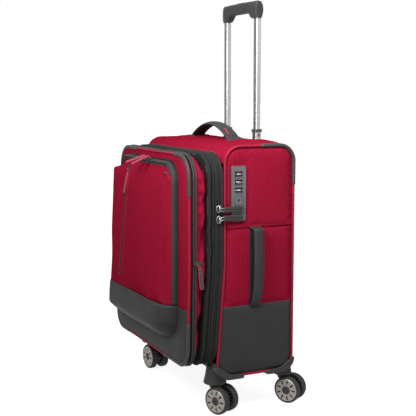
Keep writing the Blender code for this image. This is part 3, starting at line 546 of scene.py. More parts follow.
def stitches(path, normals, body, key, pitch=0.0034, length=0.0026, r=0.00032, lift=0.0001):
    """Adds a row of stitches along a path on a surface, kept as one mesh for each body and thread.

    normals is the surface's direction, either one for the whole row or one for each point of the path.
    """
    path = np.asarray(path, float) + SHIFT
    normals = np.broadcast_to(np.asarray(normals, float), path.shape)
    p, s = resample(path, pitch, closed=False)
    full = lengths(path)
    nrm = np.stack([np.interp(s, full, normals[:, k]) for k in range(3)], 1)
    nrm /= np.linalg.norm(nrm, axis=1)[:, None]
    t = np.gradient(p, axis=0)
    t /= np.linalg.norm(t, axis=1)[:, None] + 1e-12
    side = np.cross(t, nrm)
    verts, faces = STITCHES.setdefault((body, key), ([], []))
    for i in range(len(p)):
        base = len(verts)
        for h, w, up in ((-0.5, 0.35, -0.9), (-0.28, 1.0, 0.3), (0.28, 1.0, 0.3), (0.5, 0.35, -0.9)):
            c = p[i] + t[i] * length * h + nrm[i] * (lift + r * up)
            for a, b in ((-1, -1.2), (1, -1.2), (0.7, 0.7), (-0.7, 0.7)):
                verts.append(c + side[i] * r * a * w + nrm[i] * r * b)
        faces.append((base, base + 1, base + 2, base + 3))
        faces.append((base + 15, base + 14, base + 13, base + 12))
        for k in range(3):
            for c in range(4):
                d = (c + 1) % 4
                faces.append((base + k * 4 + c, base + k * 4 + 4 + c, base + k * 4 + 4 + d,
                              base + k * 4 + d))


def flush_stitches():
    for (body, key), (verts, faces) in STITCHES.items():
        uv = np.asarray(verts)[:, [0, 2]]
        build("stitching_%s_%s" % (body, key), verts, faces, M["thread_" + key], uv, body, shift=False)


# ------------------------------------------------------------------ cloth
def settle(verts, faces, pinned, pressure=0.0, slack=0.0, frames=20, cap=0.006, gravity=0.0, stiff=15.0,
           bend=0.5, mass=0.35,
           scale=10.0):
    """Runs Blender's cloth on a panel with its sewn edge held, and returns where its points come to rest.

    slack is the spare cloth sewn in, as a share of its length. Points move at most cap from their start.
    The panel is simulated ten times larger, because the solver's bending lengths suit that size.
    """
    start = np.asarray(verts, float)
    mesh = bpy.data.meshes.new("cloth_run")
    mesh.from_pydata((start * scale).tolist(), [], faces)
    obj = bpy.data.objects.new("cloth_run", mesh)
    bpy.context.scene.collection.objects.link(obj)
    group = obj.vertex_groups.new(name="sewn")
    for weight in sorted(set(np.round(pinned, 2))):
        if weight > 0:
            group.add([int(i) for i in np.nonzero(np.round(pinned, 2) == weight)[0]], float(weight),
                      "REPLACE")
    mod = obj.modifiers.new("cloth", "CLOTH")
    s = mod.settings
    s.quality = 6
    s.mass = mass
    s.tension_stiffness = stiff
    s.compression_stiffness = stiff
    s.shear_stiffness = stiff * 0.4
    s.bending_stiffness = bend
    s.tension_damping = 5
    s.compression_damping = 5
    s.shear_damping = 5
    s.bending_damping = 0.5
    s.air_damping = 2.0
    s.vertex_group_mass = "sewn"
    s.pin_stiffness = 50.0
    s.shrink_min = -slack
    s.use_pressure = pressure != 0.0
    s.uniform_pressure_force = pressure
    s.effector_weights.gravity = gravity
    mod.collision_settings.use_collision = False
    mod.collision_settings.use_self_collision = False
    cache = mod.point_cache
    cache.frame_start = 1
    cache.frame_end = frames
    scene = bpy.context.scene
    for frame_number in range(1, frames + 1):
        scene.frame_set(frame_number)
    ev = obj.evaluated_get(bpy.context.evaluated_depsgraph_get())
    out = np.empty(len(ev.data.vertices) * 3)
    ev.data.vertices.foreach_get("co", out)
    out = out.reshape(-1, 3) / scale
    scene.frame_set(1)
    bpy.data.objects.remove(obj, do_unlink=True)
    bpy.data.meshes.remove(mesh)
    out = np.where(np.isfinite(out), out, start)
    move = out - start
    dist = np.linalg.norm(move, axis=1)
    keep = cap * np.tanh(dist / cap) / np.maximum(dist, 1e-9)
    return start + move * keep[:, None]


def settle_grid(grid, pinned, close=False, **kw):
    rows, cols = grid.shape[:2]
    out = settle(grid.reshape(-1, 3), sheet_faces(rows, cols, 0, False, close), pinned.ravel(), **kw)
    return out.reshape(grid.shape)


def grid_normals(grid):
    a = np.gradient(grid, axis=0)
    b = np.gradient(grid, axis=1)
    n = np.cross(a, b)
    return n / np.maximum(np.linalg.norm(n, axis=-1, keepdims=True), 1e-12)


def edge_distance(points, outline):
    """Distance from 2D points to a closed outline, and the arc length of the nearest place on it."""
    p = np.asarray(points, float).reshape(-1, 2)
    o = np.asarray(outline, float)
    best = np.full(len(p), 1e9)
    where = np.zeros(len(p))
    run = 0.0
    for i in range(len(o)):
        a, b = o[i], o[(i + 1) % len(o)]
        ab = b - a
        length = float(np.hypot(*ab))
        if length < 1e-9:
            continue
        t = np.clip(((p - a) @ ab) / (length * length), 0, 1)
        d = np.hypot(*(p - (a + t[:, None] * ab)).T)
        closer = d < best
        best[closer] = d[closer]
        where[closer] = run + t[closer] * length
        run += length
    shape = np.asarray(points).shape[:-1]
    return best.reshape(shape), where.reshape(shape)


def span_rows(outline, levels):
    """Lowest and highest first coordinate of a closed outline at each level of the second."""
    o = np.asarray(outline, float)
    q = np.roll(o, -1, 0)
    out = []
    lowest, highest = o[:, 1].min() + 1e-6, o[:, 1].max() - 1e-6
    for level in levels:
        z = min(max(level, lowest), highest)
        hits = []
        for a, b in zip(o, q):
            if (a[1] - z) * (b[1] - z) <= 0 and abs(a[1] - b[1]) > 1e-12:
                hits.append(a[0] + (b[0] - a[0]) * (z - a[1]) / (b[1] - a[1]))
            elif abs(a[1] - z) < 1e-9:
                hits.append(a[0])
        out.append((min(hits), max(hits)))
    return np.array(out)


def eased_levels(lo, hi, step, crowd_lo=0.0, crowd_hi=0.0):
    """Levels from lo to hi, closer together over rounded corners at either end."""
    out = []
    if crowd_lo > 0:
        n = max(int(crowd_lo / step * 1.6), 5)
        out += [lo + crowd_lo * (1 - cos(pi / 2 * k / n)) for k in range(n)]
        lo += crowd_lo
    tail = []
    if crowd_hi > 0:
        n = max(int(crowd_hi / step * 1.6), 5)
        tail = [hi - crowd_hi * (1 - cos(pi / 2 * k / n)) for k in reversed(range(n))]
        hi -= crowd_hi
    n = max(int(round((hi - lo) / step)), 1)
    out += list(np.linspace(lo, hi, n + 1)[: None if not tail else -1])
    if tail:
        out += [hi] + tail
    return np.array(out)


def panel_grid(outline, levels, t):
    """Rows of points across a closed outline, one at each level and spaced by t.

    Returns both coordinates, the distance to the outline and the arc length of its nearest place.
    """
    spans = span_rows(outline, levels)
    a = spans[:, :1] + (spans[:, 1:] - spans[:, :1]) * t[None, :]
    b = np.repeat(levels[:, None], len(t), 1)
    return a, b, *edge_distance(np.stack([a, b], -1), outline)


def cut_hole(obj, axis_a, axis_b, lo, hi):
    """Cuts a rectangular hole through a slab; lo and hi are in frame coordinates along the two axes."""
    me = obj.data
    bm = bmesh.new()
    bm.from_mesh(me)
    for axis, values in ((axis_a, (lo[0], hi[0])), (axis_b, (lo[1], hi[1]))):
        for value in values:
            co = Vector((0, 0, 0))
            co[axis] = value
            no = Vector((0, 0, 0))
            no[axis] = 1.0
            near = [g for g in bm.verts[:] + bm.edges[:] + bm.faces[:]]
            bmesh.ops.bisect_plane(bm, geom=near, plane_co=co, plane_no=no, dist=1e-7)
    gone = []
    for f in bm.faces:
        c = f.calc_center_median()
        if lo[0] < c[axis_a] < hi[0] and lo[1] < c[axis_b] < hi[1]:
            gone.append(f)
    bmesh.ops.delete(bm, geom=gone, context="FACES")
    bmesh.ops.delete(bm, geom=[v for v in bm.verts if not v.link_faces], context="VERTS")
    rim = [e for e in bm.edges if len(e.link_faces) == 1]
    bmesh.ops.bridge_loops(bm, edges=rim)
    bmesh.ops.recalc_face_normals(bm, faces=bm.faces)
    for f in bm.faces:
        f.smooth = True
    bm.to_mesh(me)
    bm.free()


def baked(obj):
    """Applies an object's modifiers to its mesh."""
    ev = obj.evaluated_get(bpy.context.evaluated_depsgraph_get())
    mesh = bpy.data.meshes.new_from_object(ev)
    old = obj.data
    obj.modifiers.clear()
    obj.data = mesh
    bpy.data.meshes.remove(old)
    return obj


def paint(name, mat):
    """Gives a CAD piece that stays in view its material."""
    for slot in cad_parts[name].material_slots:
        slot.material = mat


def rounded_off(obj):
    """Rounds a piece with one level of subdivision."""
    mod = obj.modifiers.new("round", "SUBSURF")
    mod.levels = mod.render_levels = 1
    baked(obj)


# ------------------------------------------------------------------ side panels
SEAM = ((-0.060, 0.3717), (0.104, 0.3713))          # the seam across the red side panel, as (y, z)
LOCK_RECT = ((-0.0392, 0.386), (-0.0098, 0.492))


def seam_z(y):
    (y0, z0), (y1, z1) = SEAM
    return z0 + (z1 - z0) * (y - y0) / (y1 - y0)


def near_lock(y, z):
    (y0, z0), (y1, z1) = LOCK_RECT
    return (y > y0 - 0.004) & (y < y1 + 0.004) & (z > z0 - 0.004) & (z < z1 + 0.004)


def side_grid(z_lo, z_hi):
    outline = side_outline(SIDE_INSET)
    levels = eased_levels(z_lo, z_hi, 0.0034, 0.030 if z_lo < 0.09 else 0.0, 0.034 if z_hi > 0.5 else 0.0)
    y, z, dist, run = panel_grid(outline, levels, eased(46, 0.55))
    roll = smooth01(dist / 0.010)
    crown = smooth01(dist / 0.075)
    return 0.1962 + 0.0036 * roll + 0.0016 * crown, y, z, dist, run


def build_side(side):
    word = "right" if side > 0 else "left"
    # red panel
    x, y, z, dist, run = side_grid(BAND_Z - 0.002, CASE_TOP - SIDE_INSET)
    grid = np.stack([x * side, y, z], -1)
    pinned = np.where(dist < SEWN, 1.0, 0.0)
    flat = near_lock(y, z)
    if side > 0:
        pinned = np.where(flat, 1.0, pinned)
    anchor = (abs(y - 0.0118) < 0.013) & ((z < BAND_Z + 0.008) | (abs(z - 0.373) < 0.006))
    pinned = np.where(anchor, 1.0, pinned)
    pinned = np.where(z < BAND_Z + 0.003, 1.0, pinned)
    s = seam_z(y)
    pinned = np.where(abs(z - s) < 0.0022, np.maximum(pinned, 0.9), pinned)
    grid = settle_grid(grid, pinned, pressure=0.9 * side, slack=0.012, cap=0.0030, frames=16)
    # finer rows where the seam crosses the panel
    levels = z[:, 0]
    fine = np.unique(np.concatenate([levels, np.arange(SEAM[1][1] - 0.004, SEAM[0][1] + 0.004, 0.0008)]))
    x, y, z, dist, run = (np.stack([np.interp(fine, levels, v[:, c]) for c in range(v.shape[1])], 1)
                          for v in (x, y, z, dist, run))
    grid = np.stack([np.stack([np.interp(fine, levels, grid[:, c, k]) for c in range(grid.shape[1])], 1)
                     for k in range(3)], -1)
    flat = near_lock(y, z)
    s = seam_z(y)
    # stitched edge and seam: the upper cloth laps over the lower one
    pucker = 0.00030 * np.sin(run / 0.0052 * 2 * pi
                              + 2.0 * np.sin(run * 130.0)) * bell(dist, 0.0075, 0.0045)
    groove = -0.0012 * bell(dist, 0.0046, 0.0011)
    lap = 0.0014 * smooth01((z - s + 0.0010) / 0.0010) * np.exp(-np.clip(z - s, 0, None) / 0.014)
    lap -= 0.0019 * bell(z - s, -0.0017, 0.0012)
    cloud = 0.00035 * clouds(y, z, 24.0, 3.0 if side > 0 else 11.0)
    grid[..., 0] += side * (pucker + groove + lap * smooth01(dist / 0.006) + cloud * smooth01(dist / 0.02))
    if side > 0:
        grid[..., 0] = np.where(flat, np.minimum(grid[..., 0], 0.2016), grid[..., 0])
    back = np.stack([np.full_like(y, SIDE_BACK_X * side), y, z], -1)
    uv = np.stack([y, z], -1)
    panel = slab("cloth_side_" + word, grid, back, M["red"], "case", uv)
    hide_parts("side_panel_" + word)
    if side > 0:
        (y0, z0), (y1, z1) = LOCK_RECT
        cut_hole(panel, 1, 2, (y0 + CY + 0.0004, z0 + 0.0004), (y1 + CY - 0.0004, z1 - 0.0004))
    row = np.array([int(np.argmin(abs(z[:, c] - s[:, c] - 0.0034))) for c in range(3, z.shape[1] - 3)])
    line = grid[row, np.arange(3, z.shape[1] - 3)]
    stitches(line, (side, 0, 0), "case", "red", 0.0034, 0.0025, 0.00028)
    # charcoal foot of the panel, laid over the red cloth and stitched along its top
    x, y, z, dist, run = side_grid(CASE_BOTTOM + SIDE_INSET, BAND_Z)
    grid = np.stack([x * side, y, z], -1)
    top = BAND_Z - z
    pinned = np.where((dist < SEWN) | (top < SEWN), 1.0, 0.0)
    grid = settle_grid(grid, pinned, pressure=0.9 * side, slack=0.006, cap=0.0028, frames=14, bend=3.0)
    edge = 0.0011 * smooth01(top / 0.0010) - 0.0004 * bell(top, 0.0038, 0.0012)
    groove = -0.0006 * bell(dist, 0.0050, 0.0012)
    cloud = 0.0003 * clouds(y, z, 18.0, 7.0)
    grid[..., 0] += side * (edge * smooth01(dist / 0.003) + groove + cloud * smooth01(dist / 0.02))
    back = np.stack([np.full_like(y, SIDE_BACK_X * side), y, z], -1)
    band = slab("foot_side_" + word, grid, back, M["char"], "case", np.stack([y, z], -1))
    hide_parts("side_band_" + word)
    row = int(np.argmin(abs(z[:, 0] - (BAND_Z - 0.0038))))
    stitches(grid[row, 2:-2], (side, 0, 0), "case", "dark", lift=0.0002)
    # piping
    red = resample(side_outline(0.0030, 20), 0.0022)[0]
    nrm = outward(red)
    path = np.stack([np.full(len(red), side * PIPING_X), red[:, 0], red[:, 1]], 1)
    wob = 0.00012 * np.sin(np.arange(len(red)) * 0.9) * np.sin(np.arange(len(red)) * 0.37)
    path[:, 1:] += nrm * wob[:, None]
    cord = cord_sweep("piping_side_" + word, path, PIPING_R, M["pipe_red"], "case", True, 12, (side, 0, 0))
    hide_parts("side_piping_" + word)
    # charcoal sleeve over the piping at the top rear corner
    cord_y, cord_z = red[:, 0], red[:, 1]
    keep = ((cord_z > 0.4500) & (cord_y > 0.080)) | ((cord_z > CASE_TOP - 0.0045) & (cord_y > 0.0270))
    idx = open_run(keep)
    sleeve = path[idx].copy()
    sleeve[:, 1:] += nrm[idx] * 0.0003
    radius = np.full(len(idx), SLEEVE_R)
    radius[[0, -1]] = 0.0030
    cord_sweep("piping_sleeve_" + word, sleeve, radius, M["pipe_char"], "case", False, 14, (side, 0, 0))


build_side(1.0)
build_side(-1.0)


# ------------------------------------------------------------------ rings round the front frame
def lean_of(y):
    """Lean at a depth between the gusset's rear edge and its mouth."""
    t = np.clip((np.asarray(y, float) - GUSSET_Y) / (MOUTH_Y - GUSSET_Y), 0, 1)
    return LEAN + (FRONT_LEAN - LEAN) * t


def ring_points(pts, nrm, prof_n, prof_y):
    """Stations x profile points, on the front frame's outline; prof_n and prof_y may vary along it."""
    n = np.broadcast_to(prof_n, (len(pts), np.shape(prof_n)[-1]))
    y0 = np.broadcast_to(prof_y, n.shape)
    y = y0 - swell(pts[:, 1:2], 1.0) * lean_of(y0)
    # tucked in along the lid's hinge, where the two bands fold flat on each other
    n = n - 0.0017 * smooth01((-nrm[:, :1] - 0.6) / 0.3) * np.clip((y0 + 0.0900) / 0.0020, 0, 1)
    return np.stack([pts[:, :1] + nrm[:, :1] * n, y, pts[:, 1:2] + nrm[:, 1:2] * n], -1)


def coil_profile(out, depth, radius):
    """Round cross-section of a zip coil, as six points."""
    return np.array([(out + radius * cos(a), depth + radius * sin(a))
                     for a in np.linspace(0, 2 * pi, 7)[:-1]])


def ring_piece(name, profile, mat, body, unevenness=None, step=0.0030):
    pts, nrm, s = ring_path(step)
    prof = np.asarray(profile, float)
    n = np.repeat(prof[None, :, 0], len(pts), 0)
    y = np.repeat(prof[None, :, 1], len(pts), 0)
    if unevenness:
        n, y = unevenness(s, pts, n, y)
    d = lengths(prof)
    uv = uv_grid(s, d)
    return loop_sweep(name, ring_points(pts, nrm, n, y), mat, body, uv, True)


def loop_noise(s, total, scale, seed):
    """Smooth noise that closes on itself round a loop."""
    a = 2 * pi * s / total
    r = total * scale / (2 * pi)
    return np.array([noise.noise(Vector((r * cos(t) + seed, r * sin(t), seed * 0.7))) for t in a])


def build_rings():
    total = ring_path()[2][-1] + 0.003

    def slight(seed, amp):
        def uneven(s, _, n, y):
            w = loop_noise(s, total, 26.0, seed)[:, None] * amp
            outer = n > -0.003
            return n + w * outer, y + 0.6 * w * outer
        return uneven
    case = [(-0.0012, -0.0549), (0.0001, -0.0553), (0.0009, -0.0570), (0.0010, -0.0592), (0.0007, -0.0610),
            (0.0001, -0.0616),
            (-0.0014, -0.0618), (-0.0016, -0.0624), (-0.0014, -0.0630), (0.0000, -0.0633),
            (0.0006, -0.0641),
            (0.0006, -0.0655), (-0.0002, -0.0665), (-0.0012, -0.0669), (-0.0036, -0.0669),
            (-0.0036, -0.0549)]
    ring = ring_piece("zip_flap_case", case, M["char_cloth"], "case", unevenness=slight(2.0, 0.0004))
    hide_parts("case_zip_tape")
    coil = coil_profile(-0.0013, -0.0626, 0.0008)
    ring_piece("zip_coil_case", coil, M["coil"], "case", step=0.004)

    # lid: zip flap, the dark expansion fold and a loosely turned hem in front of it
    lid = [(-0.0014, -0.0674), (-0.0002, -0.0677), (0.0007, -0.0688), (0.0009, -0.0706), (0.0006, -0.0722),
           (-0.0002, -0.0727),
           (-0.0016, -0.0730), (-0.0018, -0.0736), (-0.0014, -0.0741), (0.0002, -0.0744), (0.0007, -0.0754),
           (0.0004, -0.0768), (-0.0008, -0.0776), (-0.0030, -0.0782), (-0.0044, -0.0792),
           (-0.0040, -0.0803),
           (-0.0020, -0.0811), (0.0004, -0.0819), (0.0014, -0.0834), (0.0013, -0.0851), (0.0004, -0.0865),
           (-0.0016, -0.0874),
           (-0.0040, -0.0876), (-0.0052, -0.0872), (-0.0052, -0.0674)]

    def fold(s, pts, n, y):
        a = loop_noise(s, total, 22.0, 5.0)[:, None]
        b = loop_noise(s, total, 60.0, 9.0)[:, None]
        weight = np.clip((-0.0770 - y) / 0.004, 0, 1) * (n > -0.0045)
        side = np.clip((pts[:, 1:2] - 0.16) / 0.12, 0.25, 1.0)
        return n + weight * side * (0.0022 * a + 0.0008 * b), y + weight * side * (0.0020 * b - 0.0012 * a)
    ring = ring_piece("lid_expansion_band", lid, M["char_cloth"], "lid", unevenness=fold)
    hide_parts("lid_tray")
    coil = coil_profile(-0.0015, -0.0738, 0.0008)
    ring_piece("zip_coil_expansion", coil, M["coil"], "lid", step=0.004)

    # the front compartment's zip tape
    front = [(-0.0020, -0.1104), (-0.0004, -0.1110), (0.0006, -0.1120), (0.0008, -0.1136),
             (0.0004, -0.1146), (-0.0008, -0.1150),
             (-0.0014, -0.1155), (-0.0008, -0.1160), (0.0003, -0.1163), (0.0007, -0.1172),
             (0.0003, -0.1184), (-0.0012, -0.1190),
             (-0.0038, -0.1190), (-0.0038, -0.1104)]
    ring = ring_piece("zip_tape_front", front, M["char"], "front_cover", unevenness=slight(7.0, 0.0003))
    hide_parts("front_zip_tape")
    coil = coil_profile(-0.0009, -0.1155, 0.0007)
    ring_piece("zip_coil_front", coil, M["coil"], "front_cover", step=0.004)
    pts, nrm, s = ring_path(0.004)
    for y0, off, body in ((-0.0575, 0.0010, "case"), (-0.0692, 0.0010, "lid"),
                          (-0.1124, 0.0008, "front_cover"),
                          (-0.1176, 0.0006, "front_cover")):
        line = ring_points(pts, nrm, np.array([off]), np.array([y0]))[:, 0]
        n3 = np.stack([nrm[:, 0], nrm[:, 0] * 0, nrm[:, 1]], 1)
        stitches(line, n3, body, "dark", 0.0042, 0.0030, 0.00028)


def build_gusset():
    """Loose red cloth between the lid and the front compartment, with more cloth than the gap needs."""
    pts, nrm, s = ring_path(0.0044)
    cols = 13
    t = np.linspace(0, 1, cols)
    prof_n = np.interp(t, (0.0, 0.12, 0.34, 0.58, 0.84, 1.0),
                       (-0.0150, -0.0158, -0.0070, -0.0006, -0.0012, -0.0026))
    prof_y = -0.0866 + (-0.1118 + 0.0866) * t
    total = s[-1] + 0.0044
    # loose diagonal folds, uneven along the way round
    ridge = np.stack([1.0 - 3.2 * abs(loop_noise(s + 0.024 * k, total, 13.0, 3.0)) for k in t], 1)
    broad = np.stack([loop_noise(s - 0.012 * k, total, 7.0, 8.0) for k in t], 1)
    w = 0.0042 * np.clip(ridge, -0.6, 1.0) + 0.0062 * broad
    over = smooth01((nrm[:, 1:2] - 0.25) / 0.5)
    sunk = 0.0120 * (1 - smooth01((pts[:, 1:2] - 0.150) / 0.160)) + 0.0075 * over
    sunk = sunk * np.interp(t, (0, 0.5, 0.9, 1), (1, 1, 0.5, 0.0))[None, :]
    w = w * (1.0 - 0.6 * over) * np.sin(pi * t)[None, :]
    out = prof_n[None, :] - sunk + w
    # the pull of the front compartment runs over this part of the cloth
    out = np.where((nrm[:, :1] > 0.5) & (t[None, :] > 0.40), np.minimum(out, -0.0024), out)
    grid = ring_points(pts, nrm, out, np.repeat(prof_y[None, :], len(pts), 0))
    pinned = np.zeros((len(pts), cols))
    pinned[:, 0] = 1.0
    pinned[:, -1] = 1.0
    pinned[:, -2] = 0.6
    grid = settle_grid(grid, pinned, close=True, pressure=0.2, slack=0.05, cap=0.0045, frames=24,
                       stiff=10.0, bend=3.0, gravity=0.3)
    shift = np.gradient(grid, axis=0)
    n = np.cross(shift, np.gradient(grid, axis=1))
    n /= np.maximum(np.linalg.norm(n, axis=-1, keepdims=True), 1e-12)
    n3 = np.stack([nrm[:, 0], nrm[:, 0] * 0, nrm[:, 1]], 1)[:, None, :]
    n = np.where((n * n3).sum(-1, keepdims=True) < 0, -n, n)
    inner = grid - n3 * 0.0007
    stations = np.concatenate([grid, inner[:, ::-1]], 1)
    d = np.linspace(0, 0.026, cols)
    uv = uv_grid(s, np.concatenate([d, d[::-1]]))
    obj = loop_sweep("gusset_cloth", stations, M["red_soft"], "", uv, True)
    rounded_off(obj)
    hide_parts("front_gusset")
    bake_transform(obj)


build_rings()
build_gusset()


# ------------------------------------------------------------------ front panel
def panel_front(z):
    return PANEL_FRONT_Y - swell(z, FRONT_LEAN)


def pocket_outline(inset=0.0, steps=16):
    hw, z0, z1 = POCKET_HALF_W, POCKET_Z0 - 0.0025, POCKET_Z1
    return fillet_polygon([(-hw, z0), (hw, z0 + 0.0080), (hw, z1), (-hw, z1)], [0.014, 0.050, 0.042, 0.042],
                          inset, steps)


def front_grid(z_lo, z_hi):
    outline = rounded_box(HALF_W, RING_Z0, RING_Z1, RING_R_BOTTOM, RING_R_TOP, FRONT_INSET, 20)
    levels = eased_levels(z_lo, z_hi, 0.0042, 0.032 if z_lo < 0.12 else 0.0, 0.040 if z_hi > 0.5 else 0.0)
    return panel_grid(outline, levels, eased(72, 0.6))


def build_front_panel():
    for name, node_name, z_lo, z_hi, mat, slot in (
            ("cloth_front", "front_panel", BAND_Z - 0.002, RING_Z1 - FRONT_INSET, M["red"], "red_fabric"),
            ("foot_front", "front_band", RING_Z0 + FRONT_INSET, BAND_Z, M["char"], "charcoal_trim")):
        x, z, dist, run = front_grid(z_lo, z_hi)
        rise = 0.0014 * smooth01(dist / 0.008) + 0.0014 * smooth01(dist / 0.05)
        y = panel_front(z) + 0.0012 - rise
        grid = np.stack([x, y, z], -1)
        pocket, _ = edge_distance(np.stack([x, z], -1), np.array(pocket_outline()))
        inside = (abs(x) < POCKET_HALF_W) & (z > POCKET_Z0) & (z < POCKET_Z1)
        pinned = np.where((dist < SEWN) | (inside & (pocket > SEWN)), 1.0, 0.0)
        pinned = np.where(pocket < 0.003, 0.9, pinned)
        cut = z - z_lo if z_lo > 0.2 else z_hi - z
        pinned = np.where(cut < SEWN, 1.0, pinned)
        red = z_lo > 0.2
        grid = settle_grid(grid, pinned, pressure=0.8, slack=0.008 if red else 0.0,
                           cap=0.0026 if red else 0.0016, frames=16,
                           bend=1.0 if red else 6.0)
        grid[..., 1] = np.maximum(grid[..., 1], panel_front(z) - 0.0040)
        dimple = 0.0006 * bell(dist, 0.0040, 0.0012)
        cloud = 0.00035 * clouds(x, z, 22.0, 5.0)
        grid[..., 1] += dimple + cloud * smooth01(dist / 0.02)
        if z_lo < 0.2:
            grid[..., 1] -= 0.0010 * smooth01((z_hi - z) / 0.001)
        back = np.stack([x, PANEL_BACK_Y - swell(z, FRONT_LEAN) - 0.0004, z], -1)
        obj = slab(name, grid, back, mat, "front_cover", np.stack([x, z], -1))
        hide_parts(node_name)
        if z_lo < 0.2:
            row = int(np.argmin(abs(z[:, 0] - (BAND_Z - 0.0038))))
            for part in (x[row] > POCKET_HALF_W + 0.002, x[row] < -POCKET_HALF_W - 0.002):
                path = grid[row][part]
                if len(path) > 3:
                    stitches(path, (0, -1.0, 0), "front_cover", "dark", lift=0.0002)
    # piping: a thin red cord all round, with thick charcoal sleeves at the corners
    ring, _ = resample(rounded_box(HALF_W, RING_Z0, RING_Z1, RING_R_BOTTOM, RING_R_TOP, 0.0028, 24), 0.0024)
    path = np.stack([ring[:, 0], panel_front(ring[:, 1]) + 0.0022, ring[:, 1]], 1)
    cord = cord_sweep("piping_front", path, 0.0024, M["pipe_red"], "front_cover", True, 12, (0, -1, 0))
    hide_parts("front_piping")
    n = outward(ring)
    x, z = ring[:, 0], ring[:, 1]
    corners = {
        "top_right": (x > 0.125) & (z > 0.436), "top_left": (x < -0.080) & (z > 0.436),
        "foot_right": (x > 0.075) & (z < 0.190), "foot_left": (x < -0.120) & (z < 0.190),
    }
    for word, keep in corners.items():
        idx = open_run(keep)
        p = path[idx]
        k = 16
        a = 2 * pi * np.arange(k) / k
        half_w, half_t = 0.0038, 0.0031
        ca, sa = np.sign(np.cos(a)) * abs(np.cos(a)) ** 0.75, np.sign(np.sin(a)) * abs(np.sin(a)) ** 0.75
        n3 = np.stack([n[idx, 0], n[idx, 0] * 0, n[idx, 1]], 1)
        end = np.ones(len(idx))
        end[[0, -1]] = 0.86
        st = (p[:, None, :] - n3[:, None, :] * 0.0006
              + n3[:, None, :] * (half_w * ca)[None, :, None] * end[:, None, None]
              + np.array((0, -1.0, 0)) * (half_t * sa)[None, :, None] * end[:, None, None])
        run = np.arange(len(idx)) * 0.0024
        uv = uv_grid(run, a * 0.0034)
        loop_sweep("piping_sleeve_front_" + word, st, M["pipe_char"], "front_cover", uv, False)
        line = p - n3 * 0.0026 + np.array((0, -0.0030, 0))
        stitches(line, (0, -1.0, 0), "front_cover", "dark", 0.0040, 0.0028, 0.00026)


build_front_panel()


# ------------------------------------------------------------------ front pocket
def pocket_depth(z):
    """How far the pocket stands in front of the panel."""
    z = np.asarray(z, float)
    t = (0.470 - z) / 0.280
    top = 0.0225 - 0.0050 * np.minimum(np.clip(-t, 0, None) * 280.0 / 29.0, 1.0) ** 2
    return np.where(t < 0, top, np.where(t > 1, 0.0375, 0.0225 + 0.0150 * t))


